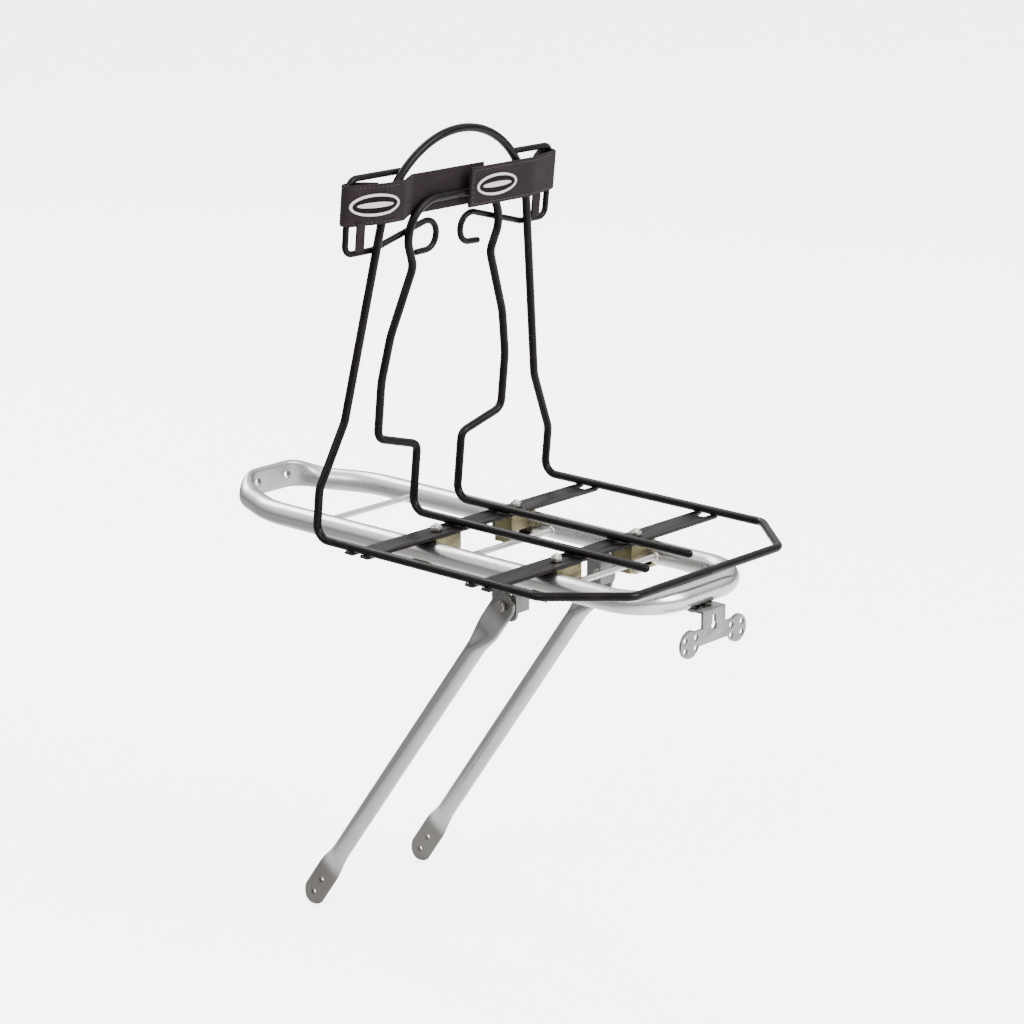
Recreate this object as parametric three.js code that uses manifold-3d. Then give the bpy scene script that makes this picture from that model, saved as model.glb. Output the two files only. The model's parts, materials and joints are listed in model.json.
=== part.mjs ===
// Bicycle rear luggage carrier with a wire bag holder clamped on top of it.
// Millimetres. +X is the bicycle's right, +Y forward, +Z up. The origin is the middle of the
// forward face of the carrier's flattened front, where the carrier bolts to the seat stays.

import * as THREE from 'three';
import { mergeVertices } from 'three/addons/utils/BufferGeometryUtils.js';
import Module from 'manifold-3d';

const wasm = await Module();
wasm.setup();

// ---------------------------------------------------------------- driving dimensions

const gap = 0.3;                  // clearance left between touching pieces

// carrier hoop: one thick tube, pressed flat across the front
const hoopTube = 22;
const hoopSpacing = 141;          // between the axes of the two side rails
const hoopRearY = -551;           // axis of the rear crossing
const hoopRearBend = 46;
const hoopZ = -6;                 // height of the rails' axes
const hoopTaperY = -75;           // where the rails turn in towards the front
const hoopFrontX = 40;
const hoopFrontBend = 34;
const plateHeight = 28;           // the flattened front
const plateReach = { flat: 24, round: 66 };   // along the tube from its middle
const plateThick = 6;
const plateHoleX = 20;
const plateHoleRadius = 4;
const weldBead = { length: 4, proud: 0.15 };

// cross rods welded between the rails
const rodDiameter = 6;
const rodY = { front: -141, middle: -324, rear: -451 };

// legs and their brackets
const legTube = 18;
const legPaddle = 27;
const legPaddleThick = 4;
const legPivot = { y: -381, z: -38 };
const legFoot = { y: -134, z: -384 };      // end of the axis, at the lowest eyelet
const legEyeletPitch = 19;
const legFlat = 27;                        // length of the flat part beyond the pivot
const legSwell = 34;                       // length over which the flat grows round again
const legTopX = 70.6;
const legFootX = 76;
const bracketThick = 3;
const bracketOuterX = 68;
const bracketFrontY = -364;
const bracketRearY = -394;
const bracketBottomZ = -53;
const bracketFlange = 18;
const bracketCorner = 9;
const spareHole = { y: -385.5, z: -25.5 };
const boltRadius = 3;
const hexFlats = 10;
const hexHeight = 4.5;

// tail lamp bracket: a T of sheet with holes at the two standard spacings
const lampY = -566;               // forward face of the sheet
const lampThick = 2.5;
const lampTabWidth = 32;
const lampArmTop = -33;
const lampArmBottom = -48;
const lampLobeX = 33.5;
const lampLobeZ = -43.5;
const lampLobeRadius = 13;
const lampHoleX = [25, 40];
const lampHoleZ = [-38.8, -48.6];
const lampHoleRadius = 2.8;
const lampSlot = { low: -33, high: -23.5, width: 4.5, eyeRadius: 3.8 };
const lampFlangeEnd = -541;
const lampScrewX = 9;
const lampScrewRadius = 2.5;
const lampScrewDepth = 7;

// bag holder wires
const wire = 8;
const clampSheet = 2;             // the clamps' saddles lie between the rails and the crossbars
const clampTop = hoopZ + hoopTube / 2 + gap + clampSheet;
const barThick = 3;
const barBottom = clampTop + gap;
const barTop = barBottom + barThick;
const wireZ = barTop + gap + wire / 2;     // height of the platform wires' axes
const uprightY = -229;            // where the wires turn up
const lean = Math.atan(0.1);      // the upright leans back
const platformWidth = 315;
const chamferY = -500;
const platformRearY = -561;
const platformRearWidth = 205;
const wireBend = 13;
const cornerBend = 14;
const shoulderLow = 47;           // heights above the platform
const shoulderHigh = 106;
const shoulderWidth = 259.5;
const sideTaper = 0.179;          // inward run of the upright's sides per unit of height
const archTop = 363;
const innerWidth = 61;
const innerRearY = -518;

// crossbars under the wires, with a fork at each end that hooks round the outer wire
const barY = [-283, -431];
const barWidth = 26;
const barEnd = 148;               // where the strip divides into its two prongs
const prongWidth = 6.5;
const prongReach = 0.9;           // how far round the wire the prong curls, radians

// clamps that hold the crossbars to the rails
const clampX = 55.4;
const saddleInnerX = 35.5;
const saddleOuterX = 69;
const clampDrop = 15;
const jawWidth = 20;
const jawThick = 3;
const jawInnerX = 36;
const jawOuterX = 81;
const jawLip = 2.6;

// strap hooks, straps and badges at the top of the upright
const hookWire = 6;
const hookOuterX = 135;
const hookTop = 331.5;
const hookBottom = 262;
const hookOffset = wire / 2 + gap + hookWire / 2;     // forward of the upright's wires
const strapThick = 3;
const strapHeight = 38;
const strapBottom = 289;
const strapOffset = wire / 2 + gap + strapThick / 2;  // its middle, from a wire it passes
const strapWrap = hookWire / 2 + gap + strapThick / 2;
const tail = { leftX: -125, rightX: 111, width: 10, low: 266 };
const badge = { length: 54, height: 20.5, thick: 1.2, leftX: -111.5, rightX: 46 };

// ---------------------------------------------------------------- materials

function metal(color, roughness, metalness) {
  return new THREE.MeshStandardMaterial({ color, roughness, metalness });
}
const silver = metal(0xc9c6c2, 0.34, 0.9);
const zinc = metal(0xa9a79c, 0.38, 0.9);
const blackWire = metal(0x1f1a1b, 0.42, 0.2);
const blackSteel = metal(0x2a2223, 0.5, 0.25);
const webbing = metal(0x3a3133, 0.85, 0);
const badgeFace = metal(0xdcd9d8, 0.4, 0.1);

// ---------------------------------------------------------------- solids

function toSolid(geometry) {
  const bare = geometry.clone();
  bare.deleteAttribute('normal');
  bare.deleteAttribute('uv');
  const merged = mergeVertices(bare, 1e-4);
  return new wasm.Manifold(new wasm.Mesh({
    numProp: 3,
    vertProperties: new Float32Array(merged.attributes.position.array),
    triVerts: new Uint32Array(merged.index.array),
  }));
}

function toGeometry(solid) {
  const mesh = solid.getMesh();
  const geometry = new THREE.BufferGeometry();
  geometry.setAttribute('position', new THREE.BufferAttribute(new Float32Array(mesh.vertProperties), 3));
  geometry.setIndex(new THREE.BufferAttribute(new Uint32Array(mesh.triVerts), 1));
  geometry.computeVertexNormals();
  return geometry;
}

function join(first, ...others) {
  return toGeometry(others.reduce((sum, piece) => sum.add(toSolid(piece)), toSolid(first)));
}

function cut(body, ...tools) {
  return toGeometry(tools.reduce((rest, tool) => rest.subtract(toSolid(tool)), toSolid(body)));
}

function block(sizeX, sizeY, sizeZ, x, y, z) {
  return new THREE.BoxGeometry(sizeX, sizeY, sizeZ).translate(x, y, z);
}

function round(radius, length, axis, x, y, z, sides = 20) {
  const shape = new THREE.CylinderGeometry(radius, radius, length, sides);
  if (axis === 'x') shape.rotateZ(Math.PI / 2);
  if (axis === 'z') shape.rotateX(Math.PI / 2);
  return shape.translate(x, y, z);
}

function hexagon(acrossFlats, height, axis, x, y, z) {
  return round(acrossFlats / Math.sqrt(3), height, axis, x, y, z, 6);
}

// ---------------------------------------------------------------- bent wire and tube

// A path through corner points, each corner rounded by its own radius. The stations lie
// close together in the bends and only at the ends of the straights.
class BentPath extends THREE.Curve {
  constructor(corners, arcStep = Math.PI / 12) {
    super();
    this.stations = [];
    this.tangents = [];
    const last = corners.length - 1;
    corners.forEach((corner, index) => {
      const here = corner.at;
      if (index === 0 || index === last) {
        const other = index === 0 ? corners[1].at : corners[last - 1].at;
        const along = new THREE.Vector3().subVectors(other, here).normalize();
        if (index === last) along.negate();
        this.push(here.clone(), along);
        return;
      }
      const inward = new THREE.Vector3().subVectors(here, corners[index - 1].at).normalize();
      const outward = new THREE.Vector3().subVectors(corners[index + 1].at, here).normalize();
      const turn = inward.angleTo(outward);
      const side = outward.clone().addScaledVector(inward, -inward.dot(outward)).normalize();
      const reach = corner.radius * Math.tan(turn / 2);
      const start = here.clone().addScaledVector(inward, -reach);
      const centre = start.clone().addScaledVector(side, corner.radius);
      const steps = Math.max(1, Math.ceil(turn / arcStep));
      for (let step = 0; step <= steps; step += 1) {
        const angle = turn * step / steps;
        const point = centre.clone()
          .addScaledVector(side, -corner.radius * Math.cos(angle))
          .addScaledVector(inward, corner.radius * Math.sin(angle));
        const tangent = inward.clone().multiplyScalar(Math.cos(angle))
          .addScaledVector(side, Math.sin(angle));
        this.push(point, tangent);
      }
    });
  }

  push(point, tangent) {
    const previous = this.stations.at(-1);
    if (previous && previous.distanceTo(point) < 0.05) return;
    this.stations.push(point);
    this.tangents.push(tangent);
  }

  get steps() {
    return this.stations.length - 1;
  }

  blend(list, t) {
    const place = Math.min(Math.max(t, 0), 1) * this.steps;
    const low = Math.min(Math.floor(place + 1e-9), this.steps - 1);
    return list[low].clone().lerp(list[low + 1], place - low);
  }

  getPoint(t) {
    return this.blend(this.stations, t);
  }

  getPointAt(t) {
    return this.getPoint(t);
  }

  getTangentAt(t) {
    return this.blend(this.tangents, t).normalize();
  }
}

// Extrudes a round section along a path. The sides fall half a step off the section's axes, so
// that flats lie square to them.
function bentTube(path, diameter, sides) {
  const points = [];
  for (let side = 0; side < sides; side += 1) {
    const angle = 2 * Math.PI * (side + 0.5) / sides;
    points.push(new THREE.Vector2(Math.cos(angle), Math.sin(angle)).multiplyScalar(diameter / 2));
  }
  const options = { steps: path.steps, extrudePath: path, bevelEnabled: false };
  return new THREE.ExtrudeGeometry(new THREE.Shape(points), options);
}

// A loop is one length of stock with its ends butted and welded in the middle of the rear run.
function weldedLoop(tube, diameter, y, z) {
  return join(tube, round(diameter / 2 + weldBead.proud, weldBead.length, 'x', 0, y, z, 16));
}

function corner(x, y, z, radius = 0) {
  return { at: new THREE.Vector3(x, y, z), radius };
}

function mirrored(corners) {
  return corners.map(({ at, radius }) => corner(-at.x, at.y, at.z, radius)).reverse();
}

// Moves each point of a tube towards the pressed-flat section: `thin` and `wide` are unit
// vectors across the flat and along its width, and press goes from 0, round, to 1, flat.
function pressPoint(point, centre, thin, wide, press, radius, thickness, width) {
  const offset = point.clone().sub(centre);
  const across = offset.dot(thin) / radius;
  const along = offset.dot(wide) / radius;
  const flatAcross = THREE.MathUtils.clamp(across * 1.7, -1, 1) * thickness / 2;
  const newAcross = THREE.MathUtils.lerp(across * radius, flatAcross, press);
  const newAlong = THREE.MathUtils.lerp(along * radius, along * width / 2, press);
  return centre.clone().addScaledVector(thin, newAcross).addScaledVector(wide, newAlong);
}

function movePoints(geometry, move) {
  const positions = geometry.attributes.position;
  const point = new THREE.Vector3();
  for (let index = 0; index < positions.count; index += 1) {
    const moved = move(point.fromBufferAttribute(positions, index));
    positions.setXYZ(index, moved.x, moved.y, moved.z);
  }
  return geometry;
}

// ---------------------------------------------------------------- carrier

const railX = hoopSpacing / 2;
const up = new THREE.Vector3(0, 0, 1);

function carrierHoop() {
  const seam = 0.1;
  const frontY = -plateThick / 2;
  const side = [
    corner(-railX, hoopRearY, hoopZ, hoopRearBend),
    corner(-railX, hoopTaperY, hoopZ, 100),
    corner(-hoopFrontX, frontY, hoopZ, hoopFrontBend),
  ];
  const path = new BentPath([
    corner(-seam, hoopRearY, hoopZ), ...side, ...mirrored(side), corner(seam, hoopRearY, hoopZ),
  ]);
  const run = [0];
  path.stations.slice(1).forEach((station, index) => {
    run.push(run.at(-1) + station.distanceTo(path.stations[index]));
  });
  const pressAt = (index) => {
    const fromMiddle = Math.abs(run[index] - run.at(-1) / 2);
    return 1 - THREE.MathUtils.smoothstep(fromMiddle, plateReach.flat, plateReach.round);
  };
  const tube = movePoints(bentTube(path, hoopTube, 16), (point) => {
    let nearest = 0;
    path.stations.forEach((station, index) => {
      if (station.distanceToSquared(point) < path.stations[nearest].distanceToSquared(point)) {
        nearest = index;
      }
    });
    const centre = path.stations[nearest];
    const thin = new THREE.Vector3().crossVectors(path.tangents[nearest], up);
    const press = pressAt(nearest);
    const pressed = pressPoint(
      point, centre, thin, up, press, hoopTube / 2, plateThick, plateHeight,
    );
    return pressed.addScaledVector(up, -hoopZ * press);
  });
  const boltHoles = [-plateHoleX, plateHoleX].map(
    (x) => round(plateHoleRadius, 4 * plateThick, 'y', x, frontY, 0),
  );
  const screwHoles = [-lampScrewX, lampScrewX].map((x) => round(
    lampScrewRadius + gap, 2 * lampScrewDepth, 'z', x, hoopRearY, hoopZ - hoopTube / 2, 12,
  ));
  return cut(weldedLoop(tube, hoopTube, hoopRearY, hoopZ), ...boltHoles, ...screwHoles);
}

function crossRod(y) {
  return round(rodDiameter / 2, hoopSpacing - hoopTube - 2 * gap, 'x', 0, y, hoopZ, 12);
}

// ---------------------------------------------------------------- legs

// The leg lies along its own +Z from the pivot, with its flat faces square to X.
const legRun = new THREE.Vector3(
  legFootX - legTopX, legFoot.y - legPivot.y, legFoot.z - legPivot.z,
);
const legLength = legRun.length();

function supportLeg() {
  const radius = legPaddle / 2;
  const stations = [-radius, -0.9 * radius, -0.7 * radius, -0.4 * radius, 0, legFlat];
  for (let step = 1; step <= 4; step += 1) stations.push(legFlat + legSwell * step / 4);
  const footFlat = legLength - legEyeletPitch - radius;
  for (let step = 4; step >= 0; step -= 1) stations.push(footFlat - legSwell * step / 4);
  stations.push(legLength);
  [0.4, 0.7, 0.9, 1].forEach((part) => stations.push(legLength + part * radius));
  const path = new BentPath([corner(0, 0, stations[0]), corner(0, 0, stations.at(-1))]);
  path.stations = stations.map((z) => new THREE.Vector3(0, 0, z));
  path.tangents = stations.map(() => up.clone());
  const thin = new THREE.Vector3(1, 0, 0);
  const wide = new THREE.Vector3(0, 1, 0);
  const tube = movePoints(bentTube(path, legTube, 16), (point) => {
    const z = point.z;
    const press = 1 - THREE.MathUtils.smoothstep(z, legFlat, legFlat + legSwell)
      + THREE.MathUtils.smoothstep(z, footFlat - legSwell, footFlat);
    const beyond = Math.max(-z, z - legLength, 0) / radius;
    const width = legPaddle * Math.max(Math.sqrt(1 - beyond * beyond), 0.3);
    const centre = new THREE.Vector3(0, 0, z);
    return pressPoint(
      point, centre, thin, wide, Math.min(press, 1), legTube / 2, legPaddleThick, width,
    );
  });
  const hole = (z, r) => round(r, 4 * legPaddleThick, 'x', 0, 0, z, 16);
  const eyelet = boltRadius - 0.2;
  return cut(
    tube, hole(0, boltRadius + gap), hole(legLength, eyelet),
    hole(legLength - legEyeletPitch, eyelet),
  );
}

function placeLeg(mesh, side) {
  const along = legRun.clone().normalize().multiply(new THREE.Vector3(side, 1, 1));
  const across = new THREE.Vector3(1, 0, 0).addScaledVector(along, -along.x).normalize();
  const frame = new THREE.Matrix4().makeBasis(
    across, new THREE.Vector3().crossVectors(along, across), along,
  );
  mesh.quaternion.setFromRotationMatrix(frame);
  mesh.position.set(side * legTopX, legPivot.y, legPivot.z);
  return mesh;
}

// An angle of sheet under the rail: its web takes the leg, its flange faces rearward.
function legBracket(side) {
  const top = hoopZ - hoopTube / 2 - gap;
  const web = new THREE.Shape();
  web.moveTo(bracketRearY, top);
  web.lineTo(bracketRearY, bracketBottomZ + bracketCorner);
  web.quadraticCurveTo(
    bracketRearY, bracketBottomZ, bracketRearY + bracketCorner, bracketBottomZ,
  );
  web.lineTo(bracketFrontY - bracketCorner, bracketBottomZ);
  web.quadraticCurveTo(
    bracketFrontY, bracketBottomZ, bracketFrontY, bracketBottomZ + bracketCorner,
  );
  web.lineTo(bracketFrontY, top);
  const sheet = { depth: bracketThick, bevelEnabled: false, curveSegments: 5 };
  const plate = new THREE.ExtrudeGeometry(web, sheet);
  plate.applyMatrix4(new THREE.Matrix4().makeBasis(
    new THREE.Vector3(0, 1, 0), up, new THREE.Vector3(1, 0, 0),
  ));
  plate.translate(side > 0 ? bracketOuterX - bracketThick : -bracketOuterX, 0, 0);
  const flangeHeight = top - bracketBottomZ - bracketCorner;
  const flange = block(
    bracketFlange, bracketThick, flangeHeight, side * (bracketOuterX - bracketFlange / 2),
    bracketRearY + bracketThick / 2, top - flangeHeight / 2,
  );
  const webX = side * (bracketOuterX - bracketThick / 2);
  const hole = ({ y, z }) => round(boltRadius + gap, 4 * bracketThick, 'x', webX, y, z, 16);
  return cut(join(plate, flange), hole(legPivot), hole(spareHole));
}

const legOuterX = legTopX + legPaddleThick / 2;
const legInnerX = bracketOuterX - bracketThick;

function pivotBolt(side) {
  const headX = legOuterX + gap + hexHeight / 2;
  const shankEnd = legInnerX - hexHeight - 2.5;
  const shankLength = headX - shankEnd;
  return join(
    hexagon(hexFlats, hexHeight, 'x', side * headX, legPivot.y, legPivot.z),
    round(boltRadius, shankLength, 'x', side * (headX + shankEnd) / 2, legPivot.y, legPivot.z, 16),
  );
}

function nut(axis, x, y, z) {
  return cut(
    hexagon(hexFlats, hexHeight, axis, x, y, z),
    round(boltRadius + gap, 2 * hexHeight, axis, x, y, z, 16),
  );
}

// ---------------------------------------------------------------- tail lamp bracket

function lampBracket() {
  const middleY = lampY - lampThick / 2;
  const top = hoopZ - hoopTube / 2 - gap;
  const plate = (width, low, high, x = 0) => block(
    width, lampThick, high - low, x, middleY, (high + low) / 2,
  );
  const flangeLength = lampFlangeEnd - (lampY - lampThick);
  const flange = block(
    lampTabWidth, flangeLength, lampThick, 0, lampFlangeEnd - flangeLength / 2, top - lampThick / 2,
  );
  const lobes = [-lampLobeX, lampLobeX].map(
    (x) => round(lampLobeRadius, lampThick, 'y', x, middleY, lampLobeZ, 28),
  );
  const holes = [];
  for (const x of lampHoleX) {
    for (const z of lampHoleZ) {
      for (const side of [-1, 1]) {
        holes.push(round(lampHoleRadius, 4 * lampThick, 'y', side * x, middleY, z, 12));
      }
    }
  }
  const screwHoles = [-lampScrewX, lampScrewX].map(
    (x) => round(lampScrewRadius + gap, 4 * lampThick, 'z', x, hoopRearY, top, 12),
  );
  const slotMiddle = (lampSlot.low + lampSlot.high) / 2;
  const slot = block(
    lampSlot.width, 4 * lampThick, lampSlot.high - lampSlot.low, 0, middleY, slotMiddle,
  );
  const eye = round(lampSlot.eyeRadius, 4 * lampThick, 'y', 0, middleY, lampSlot.low, 20);
  return cut(
    join(
      plate(lampTabWidth, lampArmTop - 1, top), flange,
      plate(2 * lampLobeX, lampArmBottom, lampArmTop), ...lobes,
    ),
    slot, eye, ...holes, ...screwHoles,
  );
}

function lampScrew(x) {
  const seat = hoopZ - hoopTube / 2 - gap - lampThick - gap;
  const headHeight = 2.4;
  const shankTop = hoopZ - hoopTube / 2 + lampScrewDepth - gap;
  return join(
    round(4.4, headHeight, 'z', x, hoopRearY, seat - headHeight / 2, 16),
    round(
      lampScrewRadius, shankTop - seat + headHeight / 2, 'z', x, hoopRearY,
      (shankTop + seat - headHeight / 2) / 2, 12,
    ),
  );
}

// ---------------------------------------------------------------- bag holder wires

function uprightCorner(x, height, radius = 0) {
  return corner(x, uprightY - Math.tan(lean) * height, wireZ + height, radius);
}

function outerWire() {
  const seam = 0.1;
  const shoulderX = shoulderWidth / 2;
  // The sides would meet at a point above the frame. The arch is the arc tangent to both.
  const apex = shoulderHigh + shoulderX / sideTaper;
  const halfAngle = Math.atan(sideTaper);
  const archRadius = (apex - archTop) / (1 / Math.sin(halfAngle) - 1);
  const side = [
    corner(-platformRearWidth / 2, platformRearY, wireZ, cornerBend),
    corner(-platformWidth / 2, chamferY, wireZ, cornerBend),
    corner(-platformWidth / 2, uprightY, wireZ, wireBend),
    uprightCorner(-platformWidth / 2, shoulderLow, 22),
    uprightCorner(-shoulderX, shoulderHigh, 30),
  ];
  const path = new BentPath([
    corner(-seam, platformRearY, wireZ), ...side, uprightCorner(0, apex, archRadius),
    ...mirrored(side), corner(seam, platformRearY, wireZ),
  ]);
  return weldedLoop(bentTube(path, wire, 10), wire, platformRearY, wireZ);
}

// Two platform rails, a jog out to a waisted back, a neck and a low arch.
function innerWire() {
  const rail = innerWidth / 2;
  const side = [
    corner(-rail, innerRearY, wireZ),
    corner(-rail, uprightY, wireZ, wireBend),
    uprightCorner(-rail, 66, 9),
    uprightCorner(-84.5, 81, 11),
    uprightCorner(-84.5, 135, 60),
    uprightCorner(-76, 178, 60),
    uprightCorner(-52, 240, 16),
    uprightCorner(-60.5, 262, 20),
    uprightCorner(-60.5, 301.5, 34),
  ];
  return bentTube(new BentPath([...side, ...mirrored(side)]), wire, 10);
}

// ---------------------------------------------------------------- crossbars

// One prong of the fork: it runs under the wire and curls up round its outer side.
function prong(side, y) {
  const centreX = platformWidth / 2;
  const innerRadius = wire / 2 + gap;
  const outerRadius = innerRadius + barThick;
  const end = -Math.PI / 2 + prongReach;
  const shape = new THREE.Shape();
  shape.moveTo(barEnd - 8, barBottom);
  shape.lineTo(centreX, barBottom);
  shape.absarc(centreX, wireZ, outerRadius, -Math.PI / 2, end, false);
  shape.absarc(centreX, wireZ, innerRadius, end, -Math.PI / 2, true);
  shape.lineTo(barEnd - 8, barTop);
  const hooked = new THREE.ExtrudeGeometry(
    shape, { depth: prongWidth, bevelEnabled: false, curveSegments: 10 },
  );
  hooked.rotateX(Math.PI / 2).translate(0, prongWidth / 2, 0);
  if (side < 0) hooked.rotateZ(Math.PI);
  return hooked.translate(0, y, 0);
}

function crossbar(y) {
  const prongY = (barWidth - prongWidth) / 2;
  const prongs = [];
  for (const side of [-1, 1]) {
    for (const end of [-1, 1]) prongs.push(prong(side, y + end * prongY));
  }
  const strip = block(2 * barEnd, barWidth, barThick, 0, y, (barBottom + barTop) / 2);
  const holes = [-clampX, clampX].map(
    (x) => round(boltRadius + gap, 4 * barThick, 'z', x, y, barTop, 16),
  );
  return cut(join(strip, ...prongs), ...holes);
}

// ---------------------------------------------------------------- clamps

const jawTop = hoopZ - hoopTube / 2 - gap;
const jawBottom = jawTop - jawThick;

// A channel of sheet between the crossbar and the rail, its flanges cut to fit round the rail.
function clampSaddle(side, y) {
  const width = saddleOuterX - saddleInnerX;
  const x = side * (saddleOuterX + saddleInnerX) / 2;
  const flangeY = (barWidth - clampSheet) / 2;
  const flanges = [-1, 1].map((end) => block(
    width, clampSheet, clampDrop, x, y + end * flangeY, clampTop - clampDrop / 2,
  ));
  const web = block(width, barWidth, clampSheet, x, y, clampTop - clampSheet / 2);
  const railClearance = round(
    hoopTube / 2 + gap, 2 * barWidth, 'y', side * railX, y, hoopZ - 0.05, 32,
  );
  const boltHole = round(
    boltRadius + gap, 4 * clampSheet, 'z', side * clampX, y, clampTop, 16,
  );
  return cut(join(web, ...flanges), railClearance, boltHole);
}

// A hooked jaw that pulls up against the underside of the rail.
function clampJaw(side, y) {
  const heelTop = clampTop - clampSheet - gap;
  const shape = new THREE.Shape();
  shape.moveTo(jawInnerX, heelTop);
  shape.lineTo(jawInnerX, jawBottom);
  shape.lineTo(jawOuterX, jawBottom);
  shape.lineTo(jawOuterX, jawTop + jawLip);
  shape.lineTo(jawOuterX - jawThick + 0.5, jawTop + jawLip);
  shape.lineTo(jawOuterX - jawThick + 0.5, jawTop);
  shape.lineTo(jawInnerX + jawThick, jawTop);
  shape.lineTo(jawInnerX + jawThick, heelTop);
  const jaw = new THREE.ExtrudeGeometry(shape, { depth: jawWidth, bevelEnabled: false });
  jaw.rotateX(Math.PI / 2).translate(0, jawWidth / 2, 0);
  if (side < 0) jaw.rotateZ(Math.PI);
  jaw.translate(0, y, 0);
  return cut(jaw, round(boltRadius + gap, 4 * jawThick, 'z', side * clampX, y, jawTop, 16));
}

const nutZ = barTop + gap + hexHeight / 2;

function clampBolt(side, y) {
  const headZ = jawBottom - gap - hexHeight / 2;
  const end = nutZ + hexHeight / 2 + 2;
  return join(
    hexagon(hexFlats, hexHeight, 'z', side * clampX, y, headZ),
    round(boltRadius, end - headZ, 'z', side * clampX, y, (end + headZ) / 2, 16),
  );
}

// ---------------------------------------------------------------- hooks, straps and badges

// These are drawn in the upright's own frame: X across it, Y forward of its wires, Z up it.

// A loop of wire outboard of the upright holds the strap. Its lower run crosses inboard
// behind both wires and ends in an open curl. The left one's upper end reaches further in.
function strapHook(side) {
  const at = (x, height, radius) => corner(side * x, hookOffset, height, radius);
  const upperEnd = side < 0 ? 67 : 84;
  return bentTube(new BentPath([
    at(upperEnd, hookTop), at(hookOuterX, hookTop, 9), at(hookOuterX, hookBottom, 9),
    at(100, hookBottom, 15), at(15.5, 284.5, 14), at(17, 252.5, 13), at(44, 251.5),
  ]), hookWire, 8);
}

// The strap's line seen from above: along the rear of the outer wire, then out to the hook's
// outer leg, round it and back.
function strapLine(side, corners) {
  return new BentPath(corners.map(([x, y, radius]) => corner(side * x, y, 0, radius)));
}

const wrapX = hookOuterX + strapWrap;
const rearRun = [[98, -strapOffset, 30], [wrapX, 3.45, strapWrap]];
const returnRun = [
  [wrapX, hookOffset + strapWrap, strapWrap],
  [124, hookOffset + strapWrap, 12],
  [105, -0.3, 0],
];
const leftStart = [[-40, strapOffset, 0], [55, strapOffset, 8], [76, -strapOffset, 8]];
const rightStart = [[11.5, -strapOffset, 0]];

// A ribbon of even thickness that stands on the line, from one height to another. The line
// may be set off sideways, outward from the wires.
function ribbon(line, from, to, low, high) {
  const edge = (distance) => line.stations.map((station, index) => {
    const tangent = line.tangents[index];
    return new THREE.Vector2(
      station.x + tangent.y * distance, station.y - tangent.x * distance,
    );
  });
  const shape = new THREE.Shape([...edge(from), ...edge(to).reverse()]);
  const band = new THREE.ExtrudeGeometry(shape, { depth: high - low, bevelEnabled: false });
  return band.translate(0, 0, low);
}

function strap(side, start, tailX) {
  const line = strapLine(side, [...start, ...rearRun, ...returnRun]);
  const band = ribbon(
    line, -strapThick / 2, strapThick / 2, strapBottom, strapBottom + strapHeight,
  );
  const tailHeight = strapBottom + 4 - tail.low;
  const hanging = block(
    tail.width, 2, tailHeight, tailX, -1.2, tail.low + tailHeight / 2,
  );
  return join(band, hanging);
}

// An oval plate that follows the rear of the strap.
function strapBadge(side, x) {
  const line = strapLine(side, [...rightStart, ...rearRun]);
  const start = side * (strapThick / 2 + gap);
  const end = side * (strapThick / 2 + gap + badge.thick);
  const middle = strapBottom + strapHeight / 2;
  const band = ribbon(line, start, end, middle - badge.height, middle + badge.height);
  const oval = new THREE.CylinderGeometry(1, 1, 40, 36);
  oval.scale(badge.length / 2, 1, badge.height / 2).translate(x, -14, middle);
  return toGeometry(toSolid(band).intersect(toSolid(oval)));
}

// ---------------------------------------------------------------- assembly

const carrier = new THREE.Group();

function add(name, geometry, material, group = carrier) {
  const mesh = new THREE.Mesh(geometry, material);
  mesh.name = name;
  group.add(mesh);
  return mesh;
}

const sides = { left: -1, right: 1 };

add('carrier_hoop', carrierHoop(), silver);
for (const [place, y] of Object.entries(rodY)) add(`cross_rod_${place}`, crossRod(y), silver);

for (const [name, side] of Object.entries(sides)) {
  placeLeg(add(`${name}_leg`, supportLeg(), silver), side);
  add(`${name}_leg_bracket`, legBracket(side), silver);
  add(`${name}_leg_pivot_bolt`, pivotBolt(side), zinc);
  const nutX = side * (legInnerX - gap - hexHeight / 2);
  add(`${name}_leg_pivot_nut`, nut('x', nutX, legPivot.y, legPivot.z), zinc);
  add(`lamp_bracket_screw_${name}`, lampScrew(side * lampScrewX), zinc);
}
add('tail_lamp_bracket', lampBracket(), silver);

add('holder_outer_wire', outerWire(), blackWire);
add('holder_inner_wire', innerWire(), blackWire);

for (const [place, y] of [['front', barY[0]], ['rear', barY[1]]]) {
  add(`${place}_crossbar`, crossbar(y), blackSteel);
  for (const [name, side] of Object.entries(sides)) {
    const prefix = `${place}_${name}_clamp`;
    add(`${prefix}_saddle`, clampSaddle(side, y), zinc);
    add(`${prefix}_jaw`, clampJaw(side, y), zinc);
    add(`${prefix}_bolt`, clampBolt(side, y), zinc);
    add(`${prefix}_nut`, nut('z', side * clampX, y, nutZ), zinc);
  }
}

const upright = new THREE.Group();
upright.position.set(0, uprightY, wireZ);
upright.rotation.x = lean;
carrier.add(upright);

add('left_strap_hook', strapHook(-1), blackWire, upright);
add('right_strap_hook', strapHook(1), blackWire, upright);
add('left_strap', strap(-1, leftStart, tail.leftX), webbing, upright);
add('right_strap', strap(1, rightStart, tail.rightX), webbing, upright);
add('left_badge', strapBadge(-1, badge.leftX), badgeFace, upright);
add('right_badge', strapBadge(1, badge.rightX), badgeFace, upright);

export default carrier;
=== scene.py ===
"""Bicycle rear carrier with a wire bag holder: smooth tubes, wires, straps and finishes."""

import json
import math

import bmesh
import bpy
from bpy.props import FloatProperty, FloatVectorProperty, PointerProperty
from mathutils import Matrix, Vector

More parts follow.
